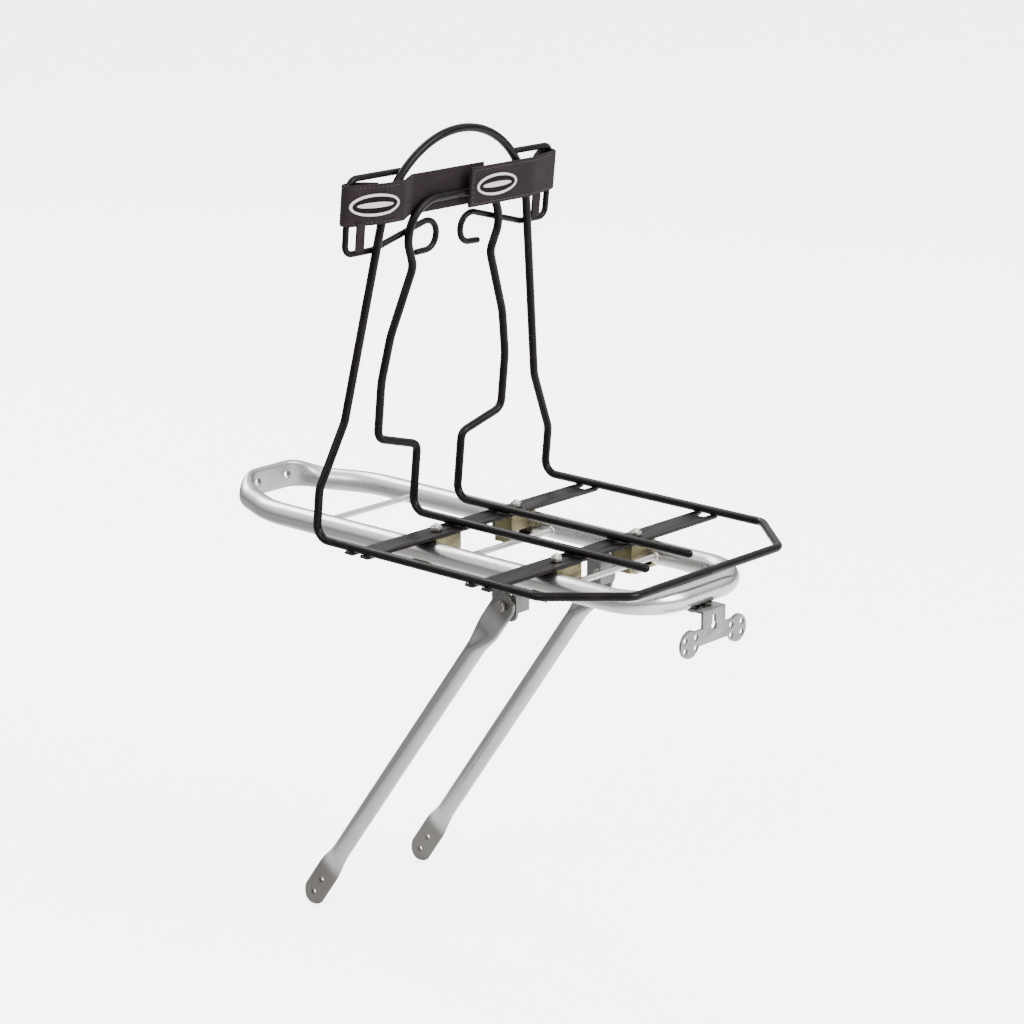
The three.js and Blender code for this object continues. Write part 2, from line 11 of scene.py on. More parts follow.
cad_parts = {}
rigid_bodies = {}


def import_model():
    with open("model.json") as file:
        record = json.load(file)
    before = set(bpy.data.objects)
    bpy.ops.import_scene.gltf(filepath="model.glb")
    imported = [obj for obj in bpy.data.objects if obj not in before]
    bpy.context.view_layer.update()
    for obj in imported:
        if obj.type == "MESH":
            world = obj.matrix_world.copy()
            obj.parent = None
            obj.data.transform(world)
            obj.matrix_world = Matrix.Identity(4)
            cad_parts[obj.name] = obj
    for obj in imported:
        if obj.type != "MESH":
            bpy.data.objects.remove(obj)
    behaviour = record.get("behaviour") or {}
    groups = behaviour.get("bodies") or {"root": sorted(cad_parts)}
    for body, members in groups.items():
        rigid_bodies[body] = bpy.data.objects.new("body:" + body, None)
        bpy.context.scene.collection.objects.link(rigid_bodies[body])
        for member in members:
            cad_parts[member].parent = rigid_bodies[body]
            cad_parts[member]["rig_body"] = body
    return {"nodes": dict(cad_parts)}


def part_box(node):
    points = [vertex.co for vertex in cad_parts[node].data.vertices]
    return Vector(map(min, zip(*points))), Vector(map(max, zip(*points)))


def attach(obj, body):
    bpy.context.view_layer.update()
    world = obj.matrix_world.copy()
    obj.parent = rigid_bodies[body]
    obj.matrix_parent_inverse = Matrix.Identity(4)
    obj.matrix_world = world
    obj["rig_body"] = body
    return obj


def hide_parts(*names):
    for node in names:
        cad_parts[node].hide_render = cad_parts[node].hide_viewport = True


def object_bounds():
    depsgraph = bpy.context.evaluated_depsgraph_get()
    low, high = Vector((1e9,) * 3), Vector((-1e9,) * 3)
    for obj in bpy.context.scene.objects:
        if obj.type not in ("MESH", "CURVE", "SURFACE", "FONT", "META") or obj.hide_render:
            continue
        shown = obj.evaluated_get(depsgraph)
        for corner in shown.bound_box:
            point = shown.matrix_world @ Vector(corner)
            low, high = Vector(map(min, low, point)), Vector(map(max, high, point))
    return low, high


bl_info = {
    "name": "Rear Carrier",
    "version": (1, 0, 0),
    "blender": (4, 5, 0),
    "location": "3D View > Sidebar > Carrier",
    "description": "Builds the visible tubes, wires, straps and finishes of a rear carrier",
    "category": "Object",
}

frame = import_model()
cad_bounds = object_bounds()

UP = Vector((0, 0, 1))


# ---------------------------------------------------------------- settings

def colour(name, description, default):
    return FloatVectorProperty(
        name=name, description=description, default=default, size=3, subtype="COLOR",
        min=0, max=1,
    )


def length(name, description, default):
    return FloatProperty(
        name=name, description=description, default=default, unit="LENGTH", subtype="DISTANCE",
        min=0, precision=5,
    )


class CarrierSizes(bpy.types.PropertyGroup):
    hoop_tube: length("Hoop tube", "Outside diameter of the hoop's tube", 0.022)
    hoop_spacing: length("Rail spacing", "Between the axes of the side rails", 0.141)
    plate_height: length("Plate height", "Height of the flattened front", 0.028)
    plate_thick: length("Plate thickness", "Thickness of the flattened front", 0.006)
    rod: length("Cross rod", "Diameter of the cross rods", 0.006)
    leg_tube: length("Leg tube", "Diameter of the legs", 0.018)
    leg_paddle: length("Leg paddle", "Width of the legs' flat ends", 0.027)
    leg_thick: length("Leg flat", "Thickness of the legs' flat ends", 0.004)
    edge: length("Sheet edge", "Radius on the edges of the pressed sheet pieces", 0.0004)
    silver: colour("Silver", "Bare metal of the tubes", (0.46, 0.452, 0.442))
    zinc: colour("Plating", "Plated fasteners", (0.40, 0.385, 0.35))
    saddle: colour("Saddle plating", "Yellow plating on the clamps", (0.165, 0.150, 0.085))


class HolderSizes(bpy.types.PropertyGroup):
    wire: length("Holder wire", "Diameter of the two holder wires", 0.008)
    hook: length("Hook wire", "Diameter of the strap hooks", 0.006)
    strap_height: length("Strap height", "Width of the webbing", 0.038)
    strap_thick: length("Strap thickness", "Thickness of the webbing", 0.003)
    weave: length("Weave pitch", "Distance between the ribs of the webbing", 0.0016)
    stitch: length("Stitch length", "Length of one stitch", 0.0034)
    coat: colour("Coat", "Coated wires and bars", (0.0026, 0.0018, 0.0018))
    webbing: colour("Webbing", "Straps", (0.0052, 0.0027, 0.0032))
    badge: colour("Badge", "Rim and bar of the badges", (0.40, 0.355, 0.37))


def carrier():
    return bpy.context.scene.rear_carrier


def holder():
    return bpy.context.scene.bag_holder


# ---------------------------------------------------------------- shader groups

def new_group(name, inputs):
    """An empty shader group that puts out a colour, a roughness and a height."""
    tree = bpy.data.node_groups.new(name, "ShaderNodeTree")
    for label, kind, value in inputs:
        socket = tree.interface.new_socket(label, in_out="INPUT", socket_type=kind)
        if value is not None:
            socket.default_value = value
    for label, kind in (("Colour", "Color"), ("Roughness", "Float"), ("Height", "Float")):
        tree.interface.new_socket(label, in_out="OUTPUT", socket_type=f"NodeSocket{kind}")
    return tree, tree.nodes.new("NodeGroupInput"), tree.nodes.new("NodeGroupOutput")


def add_node(tree, kind, values=None, **settings):
    node = tree.nodes.new(kind)
    for key, value in settings.items():
        setattr(node, key, value)
    for key, value in (values or {}).items():
        node.inputs[key].default_value = value
    return node


def noise(tree, vector, scale, detail=3.0, roughness=0.55):
    node = add_node(tree, "ShaderNodeTexNoise", {
        "Scale": scale, "Detail": detail, "Roughness": roughness,
    })
    tree.links.new(vector, node.inputs["Vector"])
    return node.outputs["Fac"]


def ramp(tree, source, low, high, to_low=0.0, to_high=1.0):
    node = add_node(tree, "ShaderNodeMapRange", {
        "From Min": low, "From Max": high, "To Min": to_low, "To Max": to_high,
    })
    tree.links.new(source, node.inputs["Value"])
    return node.outputs["Result"]


def maths(tree, operation, first, second=None):
    node = add_node(tree, "ShaderNodeMath", operation=operation)
    for socket, value in zip(node.inputs, (first, second)):
        if value is None:
            continue
        if isinstance(value, (int, float)):
            socket.default_value = value
        else:
            tree.links.new(value, socket)
    return node.outputs["Value"]


def mix(tree, factor, first, second, blend="MIX"):
    node = add_node(tree, "ShaderNodeMix", data_type="RGBA", blend_type=blend)
    sockets = (node.inputs[0], node.inputs[6], node.inputs[7])
    for socket, value in zip(sockets, (factor, first, second)):
        if isinstance(value, bpy.types.NodeSocket):
            tree.links.new(value, socket)
        elif isinstance(value, (int, float)):
            socket.default_value = value
        else:
            socket.default_value = (*value, 1.0)
    return node.outputs[2]


def grey(tree, value):
    """A grey as light as a value, which may be more than one."""
    node = add_node(tree, "ShaderNodeCombineColor")
    for socket in node.inputs:
        tree.links.new(value, socket)
    return node.outputs[0]


def drawn_metal_group():
    """Fine lines along the stock, soft stains, small dents and painted darkening in a bare or
    plated metal.
    """
    tree, into, out = new_group("drawn metal", [
        ("Vector", "NodeSocketVector", None), ("Stretch", "NodeSocketVector", (1, 1, 1)),
        ("Colour", "NodeSocketColor", (0.8, 0.8, 0.8, 1)),
        ("Dull", "NodeSocketFloat", 0.25), ("Stain", "NodeSocketFloat", 0.2),
        # Pressed sets how far the metal is painted darker and made rougher; round the leg pivots
        # this is painted shade.
        ("Pressed", "NodeSocketFloat", 0.0),
    ])
    lines = add_node(tree, "ShaderNodeVectorMath", operation="MULTIPLY")
    tree.links.new(into.outputs["Vector"], lines.inputs[0])
    tree.links.new(into.outputs["Stretch"], lines.inputs[1])
    fine = noise(tree, lines.outputs["Vector"], 900.0, 2.0)
    cloud = noise(tree, into.outputs["Vector"], 38.0, 4.0)
    speck = noise(tree, into.outputs["Vector"], 420.0, 3.0, 0.7)
    stained = maths(tree, "MULTIPLY", ramp(tree, cloud, 0.42, 0.68), into.outputs["Stain"])
    pitted = maths(tree, "MULTIPLY", ramp(tree, speck, 0.62, 0.76), into.outputs["Stain"])
    darker = mix(tree, stained, into.outputs["Colour"], (0.42, 0.39, 0.36), "MULTIPLY")
    spotted = mix(tree, pitted, darker, (0.30, 0.27, 0.24), "MULTIPLY")
    # Painted darkening where the pressed attribute is set: painted shade round the leg pivots,
    # plain darkening on the leg feet and the hoop's flat front.
    spotted = mix(tree, into.outputs["Pressed"], spotted, (0.34, 0.33, 0.32), "MULTIPLY")
    shade = grey(tree, ramp(tree, fine, 0.3, 0.7, 0.96, 1.02))
    tree.links.new(mix(tree, 1.0, spotted, shade, "MULTIPLY"), out.inputs["Colour"])
    rough = maths(tree, "ADD", into.outputs["Dull"], ramp(tree, fine, 0.3, 0.7, -0.01, 0.03))
    rough = maths(tree, "ADD", rough, maths(tree, "MULTIPLY", stained, 0.5))
    rough = maths(tree, "ADD", rough, maths(tree, "MULTIPLY", into.outputs["Pressed"], 0.12))
    tree.links.new(rough, out.inputs["Roughness"])
    dents = maths(tree, "MULTIPLY", cloud, 0.8)
    height = maths(tree, "ADD", maths(tree, "MULTIPLY", fine, 0.35), dents)
    tree.links.new(height, out.inputs["Height"])
    return tree


def coat_group():
    """A thick coat over steel: orange peel, dust in the hollows and rubbed spots."""
    tree, into, out = new_group("baked coat", [
        ("Vector", "NodeSocketVector", None), ("Colour", "NodeSocketColor", (0.02, 0.02, 0.02, 1)),
        ("Rubbed", "NodeSocketFloat", 0.3), ("Gloss", "NodeSocketFloat", 0.3),
    ])
    peel = noise(tree, into.outputs["Vector"], 620.0, 2.0)
    cloud = noise(tree, into.outputs["Vector"], 55.0, 4.0, 0.6)
    rub = maths(tree, "MULTIPLY", ramp(tree, cloud, 0.5, 0.72), into.outputs["Rubbed"])
    worn = mix(tree, rub, into.outputs["Colour"], (0.014, 0.010, 0.009))
    tree.links.new(worn, out.inputs["Colour"])
    rough = maths(tree, "ADD", into.outputs["Gloss"], ramp(tree, cloud, 0.35, 0.7, -0.04, 0.12))
    tree.links.new(rough, out.inputs["Roughness"])
    tree.links.new(peel, out.inputs["Height"])
    return tree


def webbing_group():
    """Ribs across the webbing, threads along it and a little fuzz, on the piece's own map."""
    tree, into, out = new_group("webbing", [
        ("Map", "NodeSocketVector", None), ("Colour", "NodeSocketColor", (0.04, 0.03, 0.03, 1)),
        ("Pitch", "NodeSocketFloat", 0.0016),
    ])
    split = add_node(tree, "ShaderNodeSeparateXYZ")
    tree.links.new(into.outputs["Map"], split.inputs[0])
    turns = maths(tree, "DIVIDE", 2 * math.pi, into.outputs["Pitch"])
    along = maths(tree, "MULTIPLY", split.outputs["X"], turns)
    across = maths(tree, "MULTIPLY", split.outputs["Y"], turns)
    ribs = maths(tree, "SINE", along)
    rows = maths(tree, "SINE", across)
    cells = maths(tree, "MULTIPLY", ribs, rows)
    over = ramp(tree, cells, -1.0, 1.0)
    fuzz = noise(tree, into.outputs["Map"], 2600.0, 2.0)
    cloud = noise(tree, into.outputs["Map"], 60.0, 3.0)
    light = maths(tree, "MULTIPLY", over, ramp(tree, fuzz, 0.3, 0.7, 0.4, 1.0))
    thread = mix(tree, light, into.outputs["Colour"], (0.015, 0.0098, 0.011))
    faded = mix(tree, ramp(tree, cloud, 0.45, 0.75, 0.0, 0.35), thread, (0.018, 0.0125, 0.014))
    tree.links.new(faded, out.inputs["Colour"])
    tree.links.new(ramp(tree, fuzz, 0.2, 0.8, 0.62, 0.86), out.inputs["Roughness"])
    height = maths(tree, "ADD", over, maths(tree, "MULTIPLY", fuzz, 0.3))
    tree.links.new(height, out.inputs["Height"])
    return tree


GROUPS = {}


def group(name):
    makers = {"metal": drawn_metal_group, "coat": coat_group, "webbing": webbing_group}
    if name not in GROUPS:
        GROUPS[name] = makers[name]()
    return GROUPS[name]


def new_material(name, group_name, values, coordinate, bump, turn=0.0, **shader_values):
    """A Principled surface fed by one of the groups above. turn sets its lines about X."""
    surface = bpy.data.materials.new(name)
    surface.use_nodes = True
    tree = surface.node_tree
    shader = tree.nodes["Principled BSDF"]
    for label, value in shader_values.items():
        shader.inputs[label.replace("_", " ")].default_value = value
    effect = add_node(tree, "ShaderNodeGroup", node_tree=group(group_name))
    for label, value in values.items():
        effect.inputs[label].default_value = value
    where = add_node(tree, "ShaderNodeTexCoord")
    vector_label = "Map" if group_name == "webbing" else "Vector"
    turned = add_node(tree, "ShaderNodeMapping", {"Rotation": (turn, 0, 0)})
    tree.links.new(where.outputs[coordinate], turned.inputs["Vector"])
    tree.links.new(turned.outputs["Vector"], effect.inputs[vector_label])
    if group_name == "metal":
        pressed = add_node(tree, "ShaderNodeAttribute", attribute_name="pressed")
        tree.links.new(pressed.outputs["Fac"], effect.inputs["Pressed"])
    tree.links.new(effect.outputs["Colour"], shader.inputs["Base Color"])
    tree.links.new(effect.outputs["Roughness"], shader.inputs["Roughness"])
    relief = add_node(tree, "ShaderNodeBump", {"Strength": bump[0], "Distance": bump[1]})
    tree.links.new(effect.outputs["Height"], relief.inputs["Height"])
    tree.links.new(relief.outputs["Normal"], shader.inputs["Normal"])
    return surface


def silver_material(name, stretch, dull=0.24, stain=0.12, shade=1.0, turn=0.0):
    # shade scales the one silver down; the darker copies are painted shade.
    tint = [part * shade for part in carrier().silver]
    return new_material(name, "metal", {
        "Colour": (*tint, 1), "Stretch": stretch, "Dull": dull, "Stain": stain,
    }, "Object", (0.02, 0.0004), turn, Metallic=1.0)


def plated_material(name, tint, dull=0.30, stain=0.35):
    return new_material(name, "metal", {
        "Colour": (*tint, 1), "Stretch": (1, 1, 1), "Dull": dull, "Stain": stain,
    }, "Object", (0.04, 0.0004), Metallic=1.0)


def coat_material(name, gloss=0.27, rubbed=0.25):
    return new_material(name, "coat", {
        "Colour": (*holder().coat, 1), "Rubbed": rubbed, "Gloss": gloss,
    }, "Object", (0.10, 0.0003), Specular_IOR_Level=0.10)


MATERIALS = {}


def material(name):
    makers = {
        "silver rails": lambda n: silver_material(n, (1, 0.03, 1), 0.25, 0.08),
        "silver rods": lambda n: silver_material(n, (0.03, 1, 1), 0.28),
        # The legs, the lamp plate and the leg brackets take darker copies of the hoop's silver:
        # painted shade.
        "silver legs": lambda n: silver_material(n, (1, 1, 0.03), 0.16, 0.15, 0.72, LEG_SLANT),
        "silver sheet": lambda n: silver_material(n, (0.05, 1, 1), 0.26, 0.30, 0.44),
        "bracket sheet": lambda n: silver_material(n, (0.05, 1, 1), 0.50, 0.35, 0.32),
        "plated zinc": lambda n: plated_material(n, carrier().zinc, 0.30, 0.2),
        "dull zinc": lambda n: plated_material(n, (0.19, 0.18, 0.175), 0.42, 0.6),
        "plated saddle": lambda n: plated_material(n, carrier().saddle, 0.38, 0.5),
        "coated wire": coat_material,
        "coated steel": lambda n: coat_material(n, 0.36, 0.4),
        "strap webbing": lambda n: new_material(n, "webbing", {
            "Colour": (*holder().webbing, 1), "Pitch": holder().weave,
        }, "UV", (0.6, 0.0005), Sheen_Weight=0.02, Specular_IOR_Level=0.1),
        "stitch thread": lambda n: new_material(n, "coat", {
            "Colour": (0.020, 0.014, 0.016, 1), "Rubbed": 0.5, "Gloss": 0.6,
        }, "Object", (0.3, 0.0003)),
        "badge rim": lambda n: new_material(n, "coat", {
            "Colour": (*holder().badge, 1), "Rubbed": 0.06, "Gloss": 0.28,
        }, "Object", (0.05, 0.0002), Coat_Weight=0.3),
        "badge field": lambda n: new_material(n, "coat", {
            "Colour": (0.0045, 0.0028, 0.0032, 1), "Rubbed": 0.2, "Gloss": 0.6,
        }, "Object", (0.1, 0.0002), Specular_IOR_Level=0.05),
    }
    if name not in MATERIALS:
        MATERIALS[name] = makers[name](name)
    return MATERIALS[name]


# ---------------------------------------------------------------- bent paths

class BentPath:
    """A path through corners (x, y, z, radius), each rounded by its own radius."""

    def __init__(self, corners, arc_step=math.radians(4), straight_step=0.02):
        self.points = []
        self.tangents = []
        places = [Vector(corner[:3]) for corner in corners]
        last = len(corners) - 1
        for index, corner in enumerate(corners):
            here = places[index]
            if index in (0, last):
                other = places[1] if index == 0 else places[last - 1]
                along = (other - here).normalized() * (1 if index == 0 else -1)
                self.straight_to(here, along, straight_step)
                continue
            inward = (here - places[index - 1]).normalized()
            outward = (places[index + 1] - here).normalized()
            turn = inward.angle(outward)
            side = (outward - inward * inward.dot(outward)).normalized()
            radius = corner[3]
            start = here - inward * radius * math.tan(turn / 2)
            centre = start + side * radius
            self.straight_to(start, inward, straight_step)
            steps = max(2, math.ceil(turn / arc_step))
            for step in range(1, steps + 1):
                angle = turn * step / steps
                point = centre - side * radius * math.cos(angle) + inward * radius * math.sin(angle)
                self.add(point, inward * math.cos(angle) + side * math.sin(angle))

    def add(self, point, tangent):
        if self.points and (self.points[-1] - point).length < 5e-5:
            return
        self.points.append(point)
        self.tangents.append(tangent)

    def distances(self):
        """How far along the path each of its points lies."""
        run = [0.0]
        for before, after in zip(self.points, self.points[1:]):
            run.append(run[-1] + (after - before).length)
        return run

    def straight_to(self, point, tangent, step):
        if self.points:
            start = self.points[-1]
            count = int((point - start).length / step)
            for index in range(1, count):
                self.add(start.lerp(point, index / count), tangent)
        self.add(point, tangent)


def mirrored(corners):
    return [(-x, y, z, radius) for x, y, z, radius in reversed(corners)]


# ---------------------------------------------------------------- mesh helpers

def make_object(name, mesh):
    piece = bpy.data.objects.new(name, mesh)
    bpy.context.scene.collection.objects.link(piece)
    return piece


def face_outward(mesh):
    bm = bmesh.new()
    bm.from_mesh(mesh)
    bmesh.ops.recalc_face_normals(bm, faces=bm.faces)
    bm.to_mesh(mesh)
    bm.free()


def mesh_from(name, vertices, faces):
    mesh = bpy.data.meshes.new(name)
    mesh.from_pydata([tuple(v) for v in vertices], [], faces)
    mesh.validate()
    face_outward(mesh)
    mesh.update()
    return mesh


def ring_faces(rings, sides, closed=False):
    """Quads between rings of points, with a face over each open end."""
    faces = []
    spans = rings if closed else rings - 1
    for ring in range(spans):
        here = ring * sides
        there = ((ring + 1) % rings) * sides
        for side in range(sides):
            after = (side + 1) % sides
            faces.append((here + side, here + after, there + after, there + side))
    if not closed:
        faces.append(tuple(range(sides)))
        faces.append(tuple((rings - 1) * sides + side for side in range(sides)))
    return faces


def bake(piece):
    """Applies a piece's modifiers and leaves it as one plain mesh."""
    bpy.context.view_layer.update()
    graph = bpy.context.evaluated_depsgraph_get()
    mesh = bpy.data.meshes.new_from_object(piece.evaluated_get(graph))
    piece.modifiers.clear()
    piece.data = mesh
    return piece


def join_into(piece, others):
    """Adds the meshes of other objects to a piece and removes those objects."""
    merged = bmesh.new()
    merged.from_mesh(piece.data)
    for other in others:
        merged.from_mesh(other.data)
    merged.to_mesh(piece.data)
    merged.free()
    for other in others:
        bpy.data.objects.remove(other)


def smooth_by_angle(mesh, degrees):
    """Shades a mesh smooth, apart from the edges that turn by more than an angle."""
    limit = math.radians(degrees)
    bm = bmesh.new()
    bm.from_mesh(mesh)
    for face in bm.faces:
        face.smooth = True
    for edge in bm.edges:
        edge.smooth = len(edge.link_faces) == 2 and edge.calc_face_angle(0) < limit
    bm.to_mesh(mesh)
    bm.free()


def bevel(piece, width, limit=32, segments=2):
    modifier = piece.modifiers.new("edges", "BEVEL")
    modifier.width = width
    modifier.segments = segments
    modifier.limit_method = "ANGLE"
    modifier.angle_limit = math.radians(limit)
    modifier.use_clamp_overlap = True


def cylinder(radius, height, axis, centre, sides=32):
    """A plain cutter for a hole."""
    bm = bmesh.new()
    bmesh.ops.create_cone(
        bm, cap_ends=True, segments=sides, radius1=radius, radius2=radius, depth=height,
    )
    turn = UP.rotation_difference(Vector(axis)).to_matrix().to_4x4()
    bmesh.ops.transform(bm, matrix=Matrix.Translation(centre) @ turn, verts=bm.verts)
    mesh = bpy.data.meshes.new("cutter")
    bm.to_mesh(mesh)
    bm.free()
    return make_object("cutter", mesh)


def drill(piece, cutters):
    """Cuts holes in a piece and removes the cutters."""
    for cutter in cutters:
        modifier = piece.modifiers.new("hole", "BOOLEAN")
        modifier.operation = "DIFFERENCE"
        modifier.solver = "EXACT"
        modifier.object = cutter
    bake(piece)
    for cutter in cutters:
        bpy.data.objects.remove(cutter)


def finish_piece(piece, body, nodes, materials):
    """Gives a piece its materials, attaches it to its body and hides the CAD nodes it stands for.
    """
    piece.data.materials.clear()
    for name in materials:
        piece.data.materials.append(material(name))
    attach(piece, body)
    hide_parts(*nodes)


# ---------------------------------------------------------------- geometry node trees

def geometry_tree(name, inputs):
    tree = bpy.data.node_groups.new(name, "GeometryNodeTree")
    tree.interface.new_socket("Geometry", in_out="INPUT", socket_type="NodeSocketGeometry")
    ids = {}
    for label, kind, value in inputs:
        socket = tree.interface.new_socket(label, in_out="INPUT", socket_type=kind)
        if value is not None:
            socket.default_value = value
        ids[label] = socket.identifier
    tree.interface.new_socket("Geometry", in_out="OUTPUT", socket_type="NodeSocketGeometry")
    return tree, ids, tree.nodes.new("NodeGroupInput"), tree.nodes.new("NodeGroupOutput")


def run_tree(piece, tree, ids, values):
    """Runs a tree on a piece and keeps the result as a plain mesh."""
    modifier = piece.modifiers.new(tree.name, "NODES")
    modifier.node_group = tree
    for label, value in values.items():
        modifier[ids[label]] = value
    return bake(piece)


def round_wire_tree():
    """Sweeps a round section along a line of edges, with rounded ends where it is open."""
    tree, ids, into, out = geometry_tree("round wire", [
        ("Diameter", "NodeSocketFloat", 0.008), ("Sides", "NodeSocketInt", 24),
        ("Material", "NodeSocketMaterial", None),
    ])
    to_curve = tree.nodes.new("GeometryNodeMeshToCurve")
    section = tree.nodes.new("GeometryNodeCurvePrimitiveCircle")
    half = tree.nodes.new("ShaderNodeMath")
    half.operation = "MULTIPLY"
    half.inputs[1].default_value = 0.5
    sweep = tree.nodes.new("GeometryNodeCurveToMesh")
    sweep.inputs["Fill Caps"].default_value = True
    taper = tree.nodes.new("GeometryNodeInputNamedAttribute")
    taper.data_type = "FLOAT"
    taper.inputs["Name"].default_value = "taper"
    radius = tree.nodes.new("GeometryNodeSetCurveRadius")
    shade = tree.nodes.new("GeometryNodeSetShadeSmooth")
    realize = tree.nodes.new("GeometryNodeRealizeInstances")
    paint = tree.nodes.new("GeometryNodeSetMaterial")
    for source, output, target, socket in (
        (into, "Geometry", to_curve, "Mesh"), (to_curve, "Curve", radius, "Curve"),
        (taper, "Attribute", radius, "Radius"), (into, "Diameter", half, 0),
        (half, 0, section, "Radius"), (into, "Sides", section, "Resolution"),
        (radius, "Curve", sweep, "Curve"), (section, "Curve", sweep, "Profile Curve"),
        (taper, "Attribute", sweep, "Scale"), (sweep, "Mesh", shade, "Geometry"),
        (shade, "Geometry", realize, "Geometry"), (realize, "Geometry", paint, "Geometry"),
        (into, "Material", paint, "Material"), (paint, "Geometry", out, "Geometry"),
    ):
        tree.links.new(source.outputs[output], target.inputs[socket])
    return tree, ids


def placed_copies_tree():
    """Puts a copy of one shape at every point, turned by the point's own rotation."""
    tree, ids, into, out = geometry_tree("placed copies", [
        ("Shape", "NodeSocketObject", None), ("Size", "NodeSocketFloat", 1.0),
        ("Material", "NodeSocketMaterial", None),
    ])
    shape = tree.nodes.new("GeometryNodeObjectInfo")
    turn = tree.nodes.new("GeometryNodeInputNamedAttribute")
    turn.data_type = "FLOAT_VECTOR"
    turn.inputs["Name"].default_value = "turn"
    place = tree.nodes.new("GeometryNodeInstanceOnPoints")
    realize = tree.nodes.new("GeometryNodeRealizeInstances")
    paint = tree.nodes.new("GeometryNodeSetMaterial")
    for source, output, target, socket in (
        (into, "Shape", shape, "Object"), (into, "Geometry", place, "Points"),
        (shape, "Geometry", place, "Instance"), (turn, "Attribute", place, "Rotation"),
        (into, "Size", place, "Scale"), (place, "Instances", realize, "Geometry"),
        (realize, "Geometry", paint, "Geometry"), (into, "Material", paint, "Material"),
        (paint, "Geometry", out, "Geometry"),
    ):
        tree.links.new(source.outputs[output], target.inputs[socket])
    return tree, ids


TREES = {}


def tree_for(name):
    makers = {"round wire": round_wire_tree, "placed copies": placed_copies_tree}
    if name not in TREES:
        TREES[name] = makers[name]()
    return TREES[name]


SEAM_WELD = 0.0022
END_DOME = (88, 70, 50, 30, 12)


def wire_piece(name, path, diameter, material_name, closed=False, place=None, sides=24):
    """A round wire along a path. An open end is domed, a closed loop has a weld at its seam."""
    points = list(path.points)
    radius = diameter / 2
    if closed:
        before = [(-SEAM_WELD, 1.0), (-0.6 * SEAM_WELD, 1.035)]
        after = [(0.0, 1.05), (0.6 * SEAM_WELD, 1.035), (SEAM_WELD, 1.0)]
        chain = [(points[0] + path.tangents[0] * offset, size) for offset, size in after]
        chain += [(point, 1.0) for point in points[1:-1]]
        chain += [(points[0] + path.tangents[0] * offset, size) for offset, size in before]
    else:
        head, tail = [], []
        for angle in END_DOME:
            size = math.cos(math.radians(angle))
            inset = radius * (1 - math.sin(math.radians(angle)))
            head.append((points[0] + path.tangents[0] * inset, size))
            tail.append((points[-1] - path.tangents[-1] * inset, size))
        between = [
            (point, 1.0) for point in points
            if (point - points[0]).length > radius and (point - points[-1]).length > radius
        ]
        chain = head + [(points[0] + path.tangents[0] * radius, 1.0)] + between
        chain += [(points[-1] - path.tangents[-1] * radius, 1.0)] + tail[::-1]
    points = [point for point, _ in chain]
    tapers = [size for _, size in chain]
    if place is not None:
        points = [place @ point for point in points]
    count = len(points)
    edges = [(index, index + 1) for index in range(count - 1)]
    if closed:
        edges.append((count - 1, 0))
    mesh = bpy.data.meshes.new(name)
    mesh.from_pydata([tuple(point) for point in points], edges, [])
    attribute = mesh.attributes.new("taper", "FLOAT", "POINT")
    attribute.data.foreach_set("value", tapers)
    piece = make_object(name, mesh)
    tree, ids = tree_for("round wire")
    run_tree(piece, tree, ids, {
        "Diameter": diameter, "Sides": sides, "Material": material(material_name),
    })
    bm = bmesh.new()
    bm.from_mesh(piece.data)
    bmesh.ops.remove_doubles(bm, verts=bm.verts, dist=1e-7)
    bmesh.ops.recalc_face_normals(bm, faces=bm.faces)
    bm.to_mesh(piece.data)
    bm.free()
    smooth_by_angle(piece.data, 50)
    return piece


def copies_piece(name, shape, spots, material_name):
    """One mesh made of a copy of `shape` at each (position, rotation) spot."""
    mesh = bpy.data.meshes.new(name)
    mesh.from_pydata([tuple(place) for place, _ in spots], [], [])
    attribute = mesh.attributes.new("turn", "FLOAT_VECTOR", "POINT")
    attribute.data.foreach_set("vector", [value for _, turn in spots for value in turn])
    piece = make_object(name, mesh)
    tree, ids = tree_for("placed copies")
    run_tree(piece, tree, ids, {"Shape": shape, "Material": material(material_name)})
    bpy.data.objects.remove(shape)
    smooth_by_angle(piece.data, 35)
    return piece


# ---------------------------------------------------------------- carrier tubes

# The hoop is fully pressed up to the first of these distances from its middle, and round
# from the second.
HOOP_PRESS = (0.024, 0.066)
HOOP_REAR = -0.551
HOOP_Z = -0.006
PLATE_HOLE = {"x": 0.020, "radius": 0.004}
LAMP_SCREW = {"x": 0.009, "hole": 0.0028}


def smoothstep(value, low, high):
    part = min(max((value - low) / (high - low), 0.0), 1.0)
    return part * part * (3 - 2 * part)


def pressed_ring(centre, thin, wide, press, radius, thickness, width, sides):
    """A round section pressed part of the way to a flat one with rounded edges."""
    points = []
    for side in range(sides):
        angle = 2 * math.pi * (side + 0.5) / sides
        across = math.cos(angle)
        along = math.sin(angle)
        flat = min(max(across * 1.7, -1), 1) * thickness / 2
        new_across = across * radius * (1 - press) + flat * press
        new_along = along * (radius * (1 - press) + width / 2 * press)
        points.append(centre + thin * new_across + wide * new_along)
    return points


